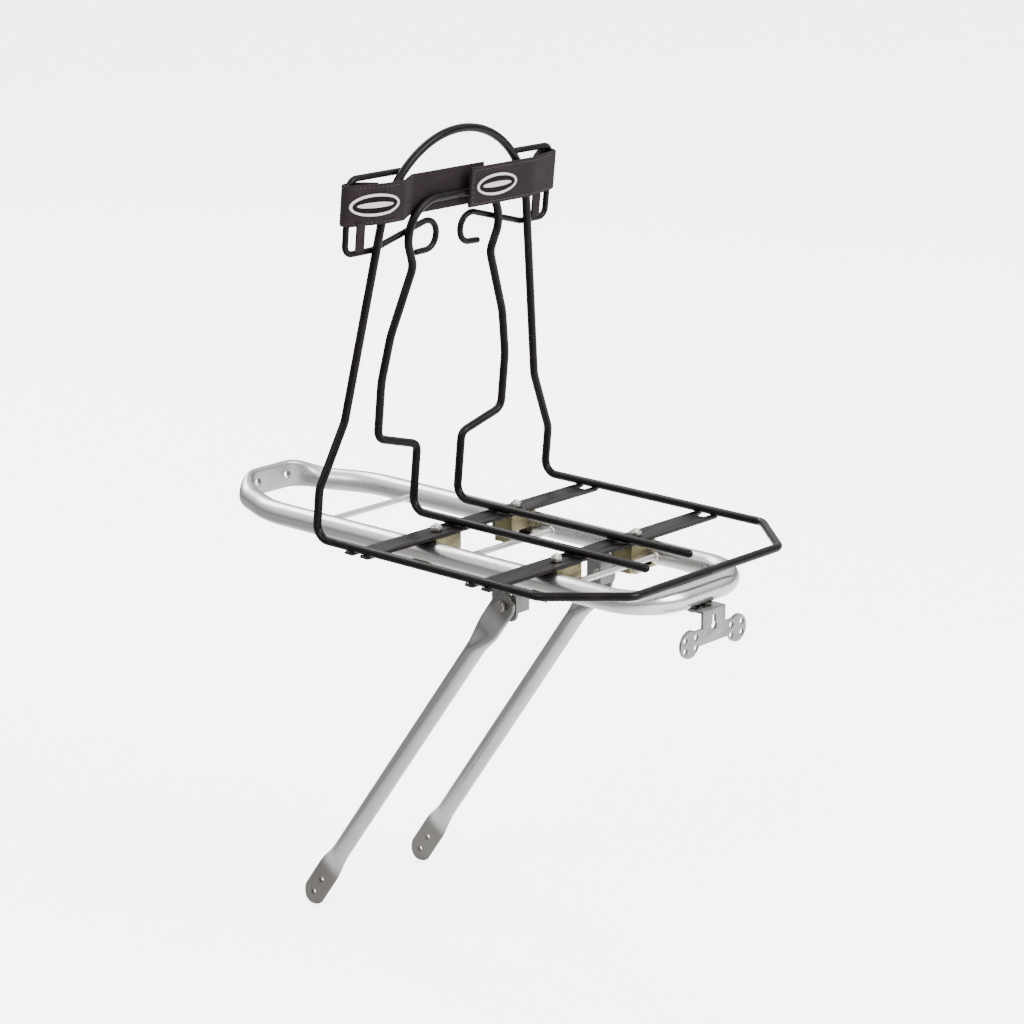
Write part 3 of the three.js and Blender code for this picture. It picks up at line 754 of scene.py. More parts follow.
def hoop_mesh():
    sizes = carrier()
    rail = sizes.hoop_spacing / 2
    front = -sizes.plate_thick / 2
    side = [
        (-rail, HOOP_REAR, HOOP_Z, 0.046), (-rail, -0.075, HOOP_Z, 0.100),
        (-0.040, front, HOOP_Z, 0.034),
    ]
    path = BentPath(
        [(0, HOOP_REAR, HOOP_Z, 0)] + side + mirrored(side) + [(0, HOOP_REAR, HOOP_Z, 0)],
        math.radians(3), 0.004,
    )
    distances = path.distances()
    radius = sizes.hoop_tube / 2
    sides = 40
    vertices = []
    rings = list(zip(path.points, path.tangents, distances))[:-1]
    for point, tangent, distance in rings:
        press = 1 - smoothstep(abs(distance - distances[-1] / 2), *HOOP_PRESS)
        thin = tangent.cross(UP)
        ring = pressed_ring(
            point, thin, UP, press, radius, sizes.plate_thick, sizes.plate_height, sides,
        )
        vertices += [corner - UP * HOOP_Z * press for corner in ring]
    return mesh_from("carrier_hoop", vertices, ring_faces(len(rings), sides, closed=True))


def weld_beads(points, radius, thickness):
    """Small rippled rings where a cross rod meets the rails."""
    vertices, faces = [], []
    around, across, ripples, ripple_size = 28, 10, 7, 0.12
    for centre, outward in points:
        base = len(vertices)
        for step in range(around):
            angle = 2 * math.pi * step / around
            reach = thickness * (1 + ripple_size * math.sin(ripples * angle))
            spoke = Vector((0, math.cos(angle), math.sin(angle)))
            for part in range(across):
                turn = 2 * math.pi * part / across
                vertices.append(
                    centre + spoke * (radius + reach * math.cos(turn))
                    + Vector((outward, 0, 0)) * reach * math.sin(turn)
                )
        for step in range(around):
            here = base + step * across
            there = base + ((step + 1) % around) * across
            for part in range(across):
                after = (part + 1) % across
                faces.append((here + part, here + after, there + after, there + part))
    return mesh_from("beads", vertices, faces)


LEG_PIVOT = Vector((0, -0.381, -0.038))
LEG_FOOT = Vector((0, -0.134, -0.384))
LEG_TOP_X = 0.0706
LEG_FOOT_X = 0.076
LEG_PIVOT_HOLE = 0.0033
LEG_EYELET = 0.0028
LEG_EYELET_PITCH = 0.019
LEG_FLAT = 0.027
LEG_SWELL = 0.034
LEG_SLANT = math.atan2(LEG_FOOT.z - LEG_PIVOT.z, LEG_FOOT.y - LEG_PIVOT.y) + math.pi / 2


def mark_dark_and_rough(mesh, amount_at):
    """Stores how far each point is painted darker and made rougher, for the finish to follow."""
    attribute = mesh.attributes.new("pressed", "FLOAT", "POINT")
    attribute.data.foreach_set("value", [amount_at(vertex.co) for vertex in mesh.vertices])


def leg_shade_and_dulling(z, total):
    """Darker and rougher over the flat foot; round the pivot the darkening is painted shade."""
    foot_flat = total - LEG_EYELET_PITCH - carrier().leg_paddle / 2
    foot = smoothstep(z, foot_flat - LEG_SWELL, foot_flat) ** 3
    return max(foot, 0.8 * (1 - smoothstep(z, 0.006, 0.018)))


def leg_press(z, total):
    """How far the leg is pressed flat at a distance from its pivot: 0 round, 1 flat."""
    foot_flat = total - LEG_EYELET_PITCH - carrier().leg_paddle / 2
    top = 1 - smoothstep(z, LEG_FLAT, LEG_FLAT + LEG_SWELL)
    return min(top + smoothstep(z, foot_flat - LEG_SWELL, foot_flat), 1)


def leg_mesh(side):
    """A tube along its own Z, pressed flat at both ends, set at its place and slant."""
    sizes = carrier()
    run = Vector((LEG_FOOT_X - LEG_TOP_X, LEG_FOOT.y - LEG_PIVOT.y, LEG_FOOT.z - LEG_PIVOT.z))
    total = run.length
    half = sizes.leg_paddle / 2
    foot_flat = total - LEG_EYELET_PITCH - half
    stations = [-half * math.cos(math.radians(angle)) for angle in range(4, 90, 9)]
    stations += [LEG_FLAT * step / 4 for step in range(5)]
    stations += [LEG_FLAT + LEG_SWELL * step / 14 for step in range(1, 15)]
    plain = foot_flat - LEG_SWELL - (LEG_FLAT + LEG_SWELL)
    stations += [LEG_FLAT + LEG_SWELL + plain * step / 16 for step in range(1, 16)]
    stations += [foot_flat - LEG_SWELL + LEG_SWELL * step / 14 for step in range(15)]
    stations += [foot_flat + (total - foot_flat) * step / 5 for step in range(1, 6)]
    stations += [total + half * math.sin(math.radians(angle)) for angle in range(9, 90, 9)]
    sides = 36
    vertices = []
    for z in stations:
        beyond = min(max(-z, z - total, 0) / half, 1)
        width = sizes.leg_paddle * max(math.sqrt(1 - beyond * beyond), 0.07)
        vertices += pressed_ring(
            Vector((0, 0, z)), Vector((1, 0, 0)), Vector((0, 1, 0)), leg_press(z, total),
            sizes.leg_tube / 2, sizes.leg_thick, width, sides,
        )
    mesh = mesh_from(f"leg_{side}", vertices, ring_faces(len(stations), sides))
    along = Vector((side * run.x, run.y, run.z)).normalized()
    across = (Vector((1, 0, 0)) - along * along.x).normalized()
    turn = Matrix((across, along.cross(across), along)).transposed().to_4x4()
    place = Matrix.Translation((side * LEG_TOP_X, LEG_PIVOT.y, LEG_PIVOT.z)) @ turn
    return mesh, place, total


class CARRIER_OT_hoop(bpy.types.Operator):
    """The thick hoop with its flattened, drilled front"""
    bl_idname = "carrier.hoop"
    bl_label = "Hoop"

    def execute(self, context):
        hoop = make_object("hoop", hoop_mesh())
        cutters = [
            cylinder(PLATE_HOLE["radius"], 0.03, (0, 1, 0), (x, -0.003, 0))
            for x in (-PLATE_HOLE["x"], PLATE_HOLE["x"])
        ]
        cutters += [
            cylinder(LAMP_SCREW["hole"], 0.014, (0, 0, 1), (x, HOOP_REAR, HOOP_Z - 0.011))
            for x in (-LAMP_SCREW["x"], LAMP_SCREW["x"])
        ]
        drill(hoop, cutters)
        bevel(hoop, 0.0005, 50)
        bake(hoop)
        # The hoop is painted darker and made rougher towards its flat front.
        mark_dark_and_rough(hoop.data, lambda point: 0.55 * smoothstep(point.y, -0.030, -0.006))
        smooth_by_angle(hoop.data, 40)
        finish_piece(hoop, "carrier", ["carrier_hoop"], ["silver rails"])
        return {"FINISHED"}


class CARRIER_OT_rods(bpy.types.Operator):
    """The thin rods across the hoop, with a weld at each end"""
    bl_idname = "carrier.rods"
    bl_label = "Cross rods"

    def execute(self, context):
        sizes = carrier()
        inner = (sizes.hoop_spacing - sizes.hoop_tube) / 2
        for place in ("front", "middle", "rear"):
            low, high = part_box(f"cross_rod_{place}")
            y = (low.y + high.y) / 2
            z = (low.z + high.z) / 2
            reach = inner + 0.0004
            path = BentPath([(-reach, y, z, 0), (reach, y, z, 0)])
            rod = wire_piece(f"rod_{place}", path, sizes.rod, "silver rods")
            beads = make_object("beads", weld_beads([
                (Vector((side * (inner - 0.0002), y, z)), side) for side in (-1, 1)
            ], sizes.rod / 2 + 0.0002, 0.0011))
            join_into(rod, [beads])
            smooth_by_angle(rod.data, 50)
            finish_piece(rod, "carrier", [f"cross_rod_{place}"], ["silver rods"])
        return {"FINISHED"}


class CARRIER_OT_legs(bpy.types.Operator):
    """The two folding legs, pressed flat and drilled at both ends"""
    bl_idname = "carrier.legs"
    bl_label = "Legs"

    def execute(self, context):
        for name, side in (("left", -1), ("right", 1)):
            mesh, place, total = leg_mesh(side)
            leg = make_object(f"{name}_support_leg", mesh)
            holes = [
                (0, LEG_PIVOT_HOLE), (total, LEG_EYELET), (total - LEG_EYELET_PITCH, LEG_EYELET),
            ]
            drill(leg, [cylinder(r, 0.02, (1, 0, 0), (0, 0, z)) for z, r in holes])
            bevel(leg, 0.0004, 50)
            bake(leg)
            # Painted shade round the leg's pivot, and a darker, rougher flat foot.
            mark_dark_and_rough(leg.data, lambda point: leg_shade_and_dulling(point.z, total))
            leg.data.transform(place)
            smooth_by_angle(leg.data, 40)
            finish_piece(leg, f"{name}_leg", [f"{name}_leg"], ["silver legs"])
        return {"FINISHED"}


# ---------------------------------------------------------------- pressed sheet pieces

def refined(node, name, material_name):
    """A copy of a CAD node with its flats merged and its edges rounded."""
    mesh = frame["nodes"][node].data.copy()
    bm = bmesh.new()
    bm.from_mesh(mesh)
    bmesh.ops.remove_doubles(bm, verts=bm.verts, dist=2e-6)
    bmesh.ops.dissolve_limit(
        bm, angle_limit=math.radians(1.0), verts=bm.verts, edges=bm.edges,
    )
    bm.to_mesh(mesh)
    bm.free()
    piece = make_object(name, mesh)
    bevel(piece, carrier().edge)
    bake(piece)
    smooth_by_angle(piece.data, 35)
    body = frame["nodes"][node]["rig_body"]
    finish_piece(piece, body, [node], [material_name])


class CARRIER_OT_sheet(bpy.types.Operator):
    """Leg brackets, lamp bracket, crossbars and clamps"""
    bl_idname = "carrier.sheet"
    bl_label = "Pressed pieces"

    def execute(self, context):
        for side in ("left", "right"):
            refined(f"{side}_leg_bracket", f"{side}_bracket", "bracket sheet")
        refined("tail_lamp_bracket", "lamp_plate", "silver sheet")
        for row in ("front", "rear"):
            refined(f"{row}_crossbar", f"{row}_bar", "coated steel")
            for side in ("left", "right"):
                prefix = f"{row}_{side}_clamp"
                for part in ("saddle", "jaw"):
                    refined(f"{prefix}_{part}", f"{row}_{side}_{part}", "plated saddle")
        return {"FINISHED"}


# ---------------------------------------------------------------- fasteners

HEX_FLATS = 0.010
HEX_HEIGHT = 0.0045
HEX_CORNER = HEX_FLATS / math.sqrt(3)
HEX_FACE = HEX_FLATS / 2 * 0.97
HEX_TURN_DOWN = 0.0006
BOLT_RADIUS = 0.003
NUT_BORE = 0.00325


def add_rings(vertices, faces, rings):
    """Joins rings of equal count into a closed skin that starts and ends on a flat."""
    base = len(vertices)
    sides = len(rings[0])
    for ring in rings:
        vertices += ring
    for face in ring_faces(len(rings), sides):
        faces.append(tuple(base + index for index in face))


def circle(radius, z, sides):
    angles = [2 * math.pi * index / sides for index in range(sides)]
    return [Vector((radius * math.cos(a), radius * math.sin(a), z)) for a in angles]


def hex_ring(z, limit, sides):
    """A hexagon's outline sampled at `sides` points and held inside a circle."""
    points = []
    for index in range(sides):
        angle = 2 * math.pi * index / sides
        folded = (angle + math.pi / 6) % (math.pi / 3) - math.pi / 6
        reach = min(HEX_FLATS / 2 / math.cos(folded), limit)
        angle += math.pi / 6
        points.append(Vector((reach * math.cos(angle), reach * math.sin(angle), z)))
    return points


def hex_rings(top, bottom, sides=48):
    """A hexagon head between two heights, its corners turned down at both faces."""
    drop = HEX_TURN_DOWN * (1 if top > bottom else -1)
    return [
        hex_ring(bottom, HEX_FACE, sides), hex_ring(bottom + drop, HEX_CORNER, sides),
        hex_ring(top - drop, HEX_CORNER, sides), hex_ring(top, HEX_FACE, sides),
    ]


def thread_rings(radius, start, end, pitch=0.001, sides=48):
    """A shank from start to end, its last part cut with thread ridges."""
    step = pitch if end > start else -pitch
    rings = [circle(radius * 0.98, start, sides)]
    z = start + (end - start) * 0.4
    rings.append(circle(radius * 0.98, z, sides))
    while abs(end - z) > 1.2 * pitch:
        rings.append(circle(radius * 0.86, z + step * 0.25, sides))
        rings.append(circle(radius * 0.98, z + step * 0.75, sides))
        z += step
    rings.append(circle(radius * 0.80, end, sides))
    return rings


def shape_object(name, parts):
    vertices, faces = [], []
    for rings in parts:
        add_rings(vertices, faces, rings)
    return make_object(name, mesh_from(name, vertices, faces))


def bolt_shape(length_from_head):
    """A bolt along +Z with the middle of its head at the origin."""
    half = HEX_HEIGHT / 2
    return shape_object("bolt", [
        hex_rings(half, -half), thread_rings(BOLT_RADIUS, half * 0.5, length_from_head),
    ])


def nut_shape():
    """A nut along Z: an outer skin and a bore joined over two chamfered faces."""
    sides = 48
    half = HEX_HEIGHT / 2
    rings = [
        circle(NUT_BORE, -half + 0.0004, sides), circle(NUT_BORE + 0.0005, -half, sides),
        *hex_rings(half, -half, sides),
        circle(NUT_BORE + 0.0005, half, sides), circle(NUT_BORE, half - 0.0004, sides),
    ]
    for ring in (0, 1, 6, 7):
        rings[ring] = rings[ring][sides // 12:] + rings[ring][:sides // 12]
    vertices = [point for ring in rings for point in ring]
    faces = ring_faces(len(rings), sides, closed=True)
    return make_object("nut", mesh_from("nut", vertices, faces))


def fasteners(name, shape, spots, nodes, finish="plated zinc"):
    """Copies of one fastener at its spots, standing for the CAD nodes named."""
    piece = copies_piece(name, shape, spots, finish)
    finish_piece(piece, "carrier", nodes, [finish])


def middle_of(node):
    low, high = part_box(node)
    return (low + high) / 2


class CARRIER_OT_fasteners(bpy.types.Operator):
    """Bolts, nuts and lamp screws, each group of like pieces as one mesh"""
    bl_idname = "carrier.fasteners"
    bl_label = "Fasteners"

    def execute(self, context):
        clamps = [f"{row}_{side}_clamp" for row in ("front", "rear") for side in ("left", "right")]
        spots = []
        for prefix in clamps:
            low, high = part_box(f"{prefix}_bolt")
            centre = middle_of(f"{prefix}_bolt")
            spots.append((Vector((centre.x, centre.y, low.z + HEX_HEIGHT / 2)), (0, 0, 0)))
            reach = high.z - low.z - HEX_HEIGHT / 2
        fasteners("clamp_bolts", bolt_shape(reach), spots, [f"{p}_bolt" for p in clamps])
        nuts = [f"{prefix}_nut" for prefix in clamps]
        fasteners("clamp_nuts", nut_shape(), [
            (middle_of(nut), (0, 0, 0.35 * index)) for index, nut in enumerate(nuts)
        ], nuts)
        spots = []
        for side, sign in (("left", -1), ("right", 1)):
            low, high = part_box(f"{side}_leg_pivot_bolt")
            outer = high.x if sign > 0 else low.x
            centre = middle_of(f"{side}_leg_pivot_bolt")
            spots.append((
                Vector((outer - sign * HEX_HEIGHT / 2, centre.y, centre.z)),
                (0, -sign * math.pi / 2, 0),
            ))
            reach = high.x - low.x - HEX_HEIGHT / 2
        bolts = ["left_leg_pivot_bolt", "right_leg_pivot_bolt"]
        fasteners("leg_bolts", bolt_shape(reach), spots, bolts, "dull zinc")
        nuts = ["left_leg_pivot_nut", "right_leg_pivot_nut"]
        fasteners("leg_nuts", nut_shape(), [
            (middle_of(nut), (0, math.pi / 2, 0)) for nut in nuts
        ], nuts)
        low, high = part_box("lamp_bracket_screw_left")
        tall = high.z - low.z
        dome = [circle(0.0044 * part, height, 32) for part, height in (
            (1.0, 0.0024), (1.0, 0.0014), (0.93, 0.0007), (0.72, 0.0002), (0.40, 0.0),
            (0.36, 0.0009),
        )]
        screw = shape_object("screw", [dome, thread_rings(0.0025, 0.0018, tall, 0.0008, 32)])
        screws = ["lamp_bracket_screw_left", "lamp_bracket_screw_right"]
        spots = []
        for node in screws:
            centre = middle_of(node)
            spots.append((Vector((centre.x, centre.y, low.z)), (0, 0, 0)))
        fasteners("lamp_screws", screw, spots, screws)
        return {"FINISHED"}


# ---------------------------------------------------------------- holder wires

LEAN = math.atan(0.1)
UPRIGHT_Y = -0.229
PLATFORM = {"width": 0.315, "chamfer": -0.500, "rear": -0.561, "rear_width": 0.205}
SHOULDER = {"half_width": 0.2595 / 2, "low": 0.047, "high": 0.106}
SIDE_TAPER = 0.179
ARCH_TOP = 0.363
INNER_RAIL = {"x": 0.0305, "rear": -0.518}
# The inner wire's left side from the platform up: across, height and bend radius.
INNER_SIDE = [
    (-0.0305, 0.066, 0.009), (-0.0845, 0.081, 0.011), (-0.0845, 0.135, 0.060),
    (-0.076, 0.178, 0.060), (-0.052, 0.240, 0.016), (-0.0605, 0.262, 0.020),
    (-0.0605, 0.3015, 0.034),
]


def platform_height():
    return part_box("holder_inner_wire")[0].z + holder().wire / 2


def upright_corner(x, height, radius=0.0):
    return (x, UPRIGHT_Y - math.tan(LEAN) * height, platform_height() + height, radius)


def upright_place():
    """From the upright's own frame, X across and Z up it, to the carrier's."""
    return Matrix.Translation((0, UPRIGHT_Y, platform_height())) @ Matrix.Rotation(LEAN, 4, "X")


class CARRIER_OT_wires(bpy.types.Operator):
    """The two long wires of the bag holder"""
    bl_idname = "carrier.wires"
    bl_label = "Holder wires"

    def execute(self, context):
        z = platform_height()
        half = PLATFORM["width"] / 2
        apex = SHOULDER["high"] + SHOULDER["half_width"] / SIDE_TAPER
        arch = (apex - ARCH_TOP) / (1 / math.sin(math.atan(SIDE_TAPER)) - 1)
        side = [
            (-PLATFORM["rear_width"] / 2, PLATFORM["rear"], z, 0.014),
            (-half, PLATFORM["chamfer"], z, 0.014),
            (-half, UPRIGHT_Y, z, 0.013),
            upright_corner(-half, SHOULDER["low"], 0.022),
            upright_corner(-SHOULDER["half_width"], SHOULDER["high"], 0.030),
        ]
        seam = (0, PLATFORM["rear"], z, 0)
        path = BentPath([seam, *side, upright_corner(0, apex, arch), *mirrored(side), seam])
        outer = wire_piece("outer_wire", path, holder().wire, "coated wire", closed=True)
        finish_piece(outer, "carrier", ["holder_outer_wire"], ["coated wire"])
        side = [
            (-INNER_RAIL["x"], INNER_RAIL["rear"], z, 0), (-INNER_RAIL["x"], UPRIGHT_Y, z, 0.013),
            *(upright_corner(*corner) for corner in INNER_SIDE),
        ]
        inner = wire_piece(
            "inner_wire", BentPath(side + mirrored(side)), holder().wire, "coated wire",
        )
        finish_piece(inner, "carrier", ["holder_inner_wire"], ["coated wire"])
        return {"FINISHED"}


HOOK_X = 0.135
HOOK_TOP = 0.3315
HOOK_OFFSET = 0.0073
HOOK_END = {"left": 0.067, "right": 0.084}
# From the loop's upper outer corner to the end of its curl: across, height and bend radius.
HOOK_LINE = [
    (HOOK_X, HOOK_TOP, 0.009), (HOOK_X, 0.262, 0.009), (0.100, 0.262, 0.015),
    (0.0155, 0.2845, 0.014), (0.017, 0.2525, 0.013), (0.044, 0.2515, 0),
]


class CARRIER_OT_hooks(bpy.types.Operator):
    """The wire loops that hold the straps, with their open curls"""
    bl_idname = "carrier.hooks"
    bl_label = "Strap hooks"

    def execute(self, context):
        for name, side in (("left", -1), ("right", 1)):
            line = [(HOOK_END[name], HOOK_TOP, 0), *HOOK_LINE]
            path = BentPath([(side * x, HOOK_OFFSET, height, r) for x, height, r in line])
            hook = wire_piece(
                f"{name}_hook", path, holder().hook, "coated wire", place=upright_place(), sides=20,
            )
            finish_piece(
                hook, "carrier", [f"{name}_strap_hook"], ["coated wire"],
            )
        return {"FINISHED"}


# ---------------------------------------------------------------- straps and badges

STRAP_LOW = 0.289
STRAP_OFFSET = 0.0058
STRAP_WRAP = 0.0048
WRAP_X = HOOK_X + STRAP_WRAP
REAR_RUN = [(0.098, -STRAP_OFFSET, 0.030), (WRAP_X, 0.00345, STRAP_WRAP)]
RETURN_RUN = [
    (WRAP_X, HOOK_OFFSET + STRAP_WRAP, STRAP_WRAP), (0.124, HOOK_OFFSET + STRAP_WRAP, 0.012),
    (0.105, -0.0003, 0),
]
STRAP_START = {
    "left": [
        (-0.040, STRAP_OFFSET, 0), (0.055, STRAP_OFFSET, 0.008), (0.076, -STRAP_OFFSET, 0.008),
    ],
    "right": [(0.0115, -STRAP_OFFSET, 0)],
}
TAIL = {"left": 0.125, "right": 0.111, "width": 0.010, "low": 0.266, "depth": -0.0012}
# Where the strap's rear run turns forward, and how steeply.
STRAP_BEND_X = 0.0965
STRAP_SLOPE = 0.2213
STITCH_GIRTH = 0.00042
STITCH_SPACING = 1.35
STITCH_INSET = 0.003
STITCH_END = 0.134
STITCH_START = {"left": 0.083, "right": 0.0145}


def flat_path(side, corners):
    return BentPath(
        [(side * x, y, 0, radius) for x, y, radius in corners], math.radians(8), 0.003,
    )


def band_rings(path, low, high, thickness):
    """Sections of a band standing on a path, with rounded upper and lower edges."""
    half = thickness / 2
    profile = []
    for index in range(9):
        angle = math.pi * index / 8
        profile.append((half * math.cos(angle), high - half + half * math.sin(angle)))
    rows = 12
    for index in range(1, rows):
        profile.append((-half, high - half - (high - low - thickness) * index / rows))
    for index in range(9):
        angle = math.pi + math.pi * index / 8
        profile.append((half * math.cos(angle), low + half + half * math.sin(angle)))
    for index in range(1, rows):
        profile.append((half, low + half + (high - low - thickness) * index / rows))
    rings = []
    for point, tangent in zip(path.points, path.tangents):
        outward = Vector((tangent.y, -tangent.x, 0))
        rings.append([point + outward * across + UP * height for across, height in profile])
    return rings, profile


def band_mesh(name, path, low, high, thickness):
    """A band standing on a path, its map running along the path and up the band."""
    rings, profile = band_rings(path, low, high, thickness)
    sides = len(profile)
    vertices = [point for ring in rings for point in ring]
    mesh = bpy.data.meshes.new(name)
    mesh.from_pydata([tuple(v) for v in vertices], [], ring_faces(len(rings), sides))
    distances = path.distances()
    layer = mesh.uv_layers.new(name="weave")
    for polygon in mesh.polygons:
        for corner in polygon.loop_indices:
            vertex = mesh.loops[corner].vertex_index
            ring, place = divmod(vertex, sides)
            layer.data[corner].uv = (distances[ring], profile[place][1])
    face_outward(mesh)
    return mesh


def strap_rear(run):
    """The depth of the strap's rear face at a distance from the middle of the upright."""
    beyond = max(run - STRAP_BEND_X, 0.0)
    return -STRAP_OFFSET + beyond * STRAP_SLOPE - holder().strap_thick / 2


def stitch_shape(size):
    """One raised stitch along X."""
    rings = []
    angles = [2 * math.pi * index / 8 for index in range(8)]
    for part in (-1.0, -0.8, -0.4, 0.0, 0.4, 0.8, 1.0):
        girth = max(math.sqrt(1 - part * part), 0.15) * STITCH_GIRTH
        rings.append([
            Vector((part * size / 2, girth * math.cos(a), girth * math.sin(a))) for a in angles
        ])
    return shape_object("stitch", [rings])


def stitch_spots(side, lines):
    """Spots of stitches on the strap's rear face, in the upright's own frame."""
    size = holder().stitch
    spots = []
    for (x0, z0), (x1, z1) in lines:
        run = Vector((side * (x1 - x0), 0, z1 - z0))
        count = max(1, round(run.length / (size * STITCH_SPACING)))
        slant = math.atan2(run.z, run.x)
        for index in range(count):
            part = (index + 0.5) / count
            x = x0 + (x1 - x0) * part
            depth = strap_rear(x) - 0.0001
            spots.append((Vector((side * x, depth, z0 + (z1 - z0) * part)), (0, -slant, 0)))
    return spots


class CARRIER_OT_straps(bpy.types.Operator):
    """The two webbing straps, looped round the hooks and sewn back on themselves"""
    bl_idname = "carrier.straps"
    bl_label = "Straps"

    def execute(self, context):
        sizes = holder()
        place = upright_place()
        high = STRAP_LOW + sizes.strap_height
        for name, side in (("left", -1), ("right", 1)):
            path = flat_path(side, STRAP_START[name] + REAR_RUN + RETURN_RUN)
            strap = make_object(f"{name}_webbing", band_mesh(
                f"{name}_webbing", path, STRAP_LOW, high, sizes.strap_thick,
            ))
            half = TAIL["width"] / 2
            hanging = BentPath([
                (side * (TAIL[name] - half), TAIL["depth"], 0, 0),
                (side * (TAIL[name] + half), TAIL["depth"], 0, 0),
            ], straight_step=0.001)
            join_into(strap, [make_object("tail", band_mesh(
                "tail", hanging, TAIL["low"], STRAP_LOW + 0.004, 0.002,
            ))])
            smooth_by_angle(strap.data, 50)
            strap.data.transform(place)
            finish_piece(strap, "carrier", [f"{name}_strap"], ["strap webbing"])
            low = STRAP_LOW + STITCH_INSET
            top = high - STITCH_INSET
            start = STITCH_START[name]
            lines = [((start, low), (STITCH_END, low)), ((start, top), (STITCH_END, top))]
            if name == "right":
                lines.append(((start, low), (start, top)))
            thread = copies_piece(
                f"{name}_stitches", stitch_shape(sizes.stitch), stitch_spots(side, lines),
                "stitch thread",
            )
            thread.data.transform(place)
            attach(thread, "carrier")
        return {"FINISHED"}


BADGE = {"length": 0.054, "height": 0.0205, "thick": 0.0012, "left": -0.1115, "right": 0.046}
BADGE_GAP = 0.0003
# The badge's section from its edge to its middle: part of its half height, and rise. The field
# lies between the rim's last ring and the bar's first one.
BADGE_SECTION = [
    (1.0, 0.0), (1.0, 0.75), (0.985, 0.95), (0.955, 1.0), (0.80, 1.0), (0.77, 0.93),
    (0.755, 0.55), (0.55, 0.55), (0.26, 0.56), (0.25, 0.58), (0.24, 0.85), (0.22, 0.92),
    (0.14, 0.94), (0.08, 0.94),
]
BADGE_RIM_RINGS = 6
BADGE_BAR_RING = 9


def badge_mesh(name, centre, side):
    """An oval with a raised rim, a sunk field and a plain raised bar, lying on the strap."""
    half_length = BADGE["length"] / 2
    half_height = BADGE["height"] / 2
    sides = 96
    vertices, marks = [], []
    middle_z = STRAP_LOW + holder().strap_height / 2
    for size, rise in BADGE_SECTION:
        for index in range(sides):
            angle = 2 * math.pi * index / sides
            inset = (1 - size) * half_height
            x = centre + (half_length - inset) * math.cos(angle)
            z = middle_z + (half_height - inset) * math.sin(angle)
            if size < 0.1:
                x = centre + (half_length - half_height + size * half_height) * math.cos(angle)
            y = strap_rear(side * x) - BADGE_GAP - rise * BADGE["thick"]
            vertices.append(Vector((x, y, z)))
    for ring in range(len(BADGE_SECTION) - 1):
        marks += [1 if BADGE_RIM_RINGS <= ring < BADGE_BAR_RING else 0] * sides
    marks += [0, 0]
    mesh = bpy.data.meshes.new(name)
    faces = ring_faces(len(BADGE_SECTION), sides)
    mesh.from_pydata([tuple(v) for v in vertices], [], faces)
    mesh.materials.append(material("badge rim"))
    mesh.materials.append(material("badge field"))
    mesh.polygons.foreach_set("material_index", marks)
    face_outward(mesh)
    return mesh


class CARRIER_OT_badges(bpy.types.Operator):
    """Plain oval badges on the straps, with no lettering"""
    bl_idname = "carrier.badges"
    bl_label = "Badges"

    def execute(self, context):
        for name, side in (("left", -1), ("right", 1)):
            badge = make_object(f"{name}_oval", badge_mesh(f"{name}_oval", BADGE[name], side))
            smooth_by_angle(badge.data, 40)
            badge.data.transform(upright_place())
            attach(badge, "carrier")
            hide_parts(f"{name}_badge")
        return {"FINISHED"}


# ---------------------------------------------------------------- stage

# The camera's place, and the direction from the carrier back to it.
CAMERA_PLACE = Vector((-2.0495, -2.1732, 0.8007))
CAMERA_BACK = Vector((-0.7154, -0.6442, 0.2706))
FLOOR_REACH = 9.0
FLOOR_SHADE = 0.92
# Each light's place, size and power. They all face the same spot on the carrier.
LIGHT_TARGET = Vector((0, -0.33, 0))
LIGHTS = {
    "key": ((0.6, -3.6, 2.4), 2.4, 300),
    "fill": ((-3.0, -0.8, 2.6), 2.0, 110),
    "back": ((0.6, 2.8, 2.8), 2.2, 170),
}


def area_light(name, place, size, power):
    light = bpy.data.lights.new(name, "AREA")
    light.shape = "SQUARE"
    light.size = size
    light.energy = power
    lamp = bpy.data.objects.new(name, light)
    lamp.location = place
    lamp.rotation_euler = (Vector(place) - LIGHT_TARGET).to_track_quat("Z", "Y").to_euler()
    bpy.context.scene.collection.objects.link(lamp)


def either(tree, factor, first, second):
    """The first node's shader where the factor is 0, and the second's where it is 1."""
    node = add_node(tree, "ShaderNodeMixShader")
    tree.links.new(factor, node.inputs["Fac"])
    tree.links.new(first.outputs[0], node.inputs[1])
    tree.links.new(second.outputs[0], node.inputs[2])
    return node.outputs[0]


def floor_paint():
    """Pale paint, clear from below. Bare metal sees it shaded towards one side."""
    paint = bpy.data.materials.new("floor paint")
    paint.use_nodes = True
    tree = paint.node_tree
    shader = tree.nodes["Principled BSDF"]
    shader.inputs["Roughness"].default_value = 0.9
    shader.inputs["Specular IOR Level"].default_value = 0.1
    where = add_node(tree, "ShaderNodeTexCoord")
    across = add_node(tree, "ShaderNodeVectorMath", {1: (-0.8, 0.6, 0)}, operation="DOT_PRODUCT")
    tree.links.new(where.outputs["Object"], across.inputs[0])
    shaded = ramp(tree, across.outputs["Value"], -0.30, 0.38, FLOOR_SHADE, 0.20)
    rays = add_node(tree, "ShaderNodeLightPath")
    pale = (FLOOR_SHADE, FLOOR_SHADE, FLOOR_SHADE)
    base = mix(tree, rays.outputs["Is Glossy Ray"], pale, grey(tree, shaded))
    tree.links.new(base, shader.inputs["Base Color"])
    shader.inputs["Emission Color"].default_value = (1, 1, 1, 1)
    glow = maths(tree, "MULTIPLY", rays.outputs["Is Camera Ray"], 3.0)
    tree.links.new(glow, shader.inputs["Emission Strength"])
    facing = add_node(tree, "ShaderNodeNewGeometry").outputs["Backfacing"]
    clear = add_node(tree, "ShaderNodeBsdfTransparent")
    seen = either(tree, facing, shader, clear)
    tree.links.new(seen, tree.nodes["Material Output"].inputs["Surface"])
    return paint


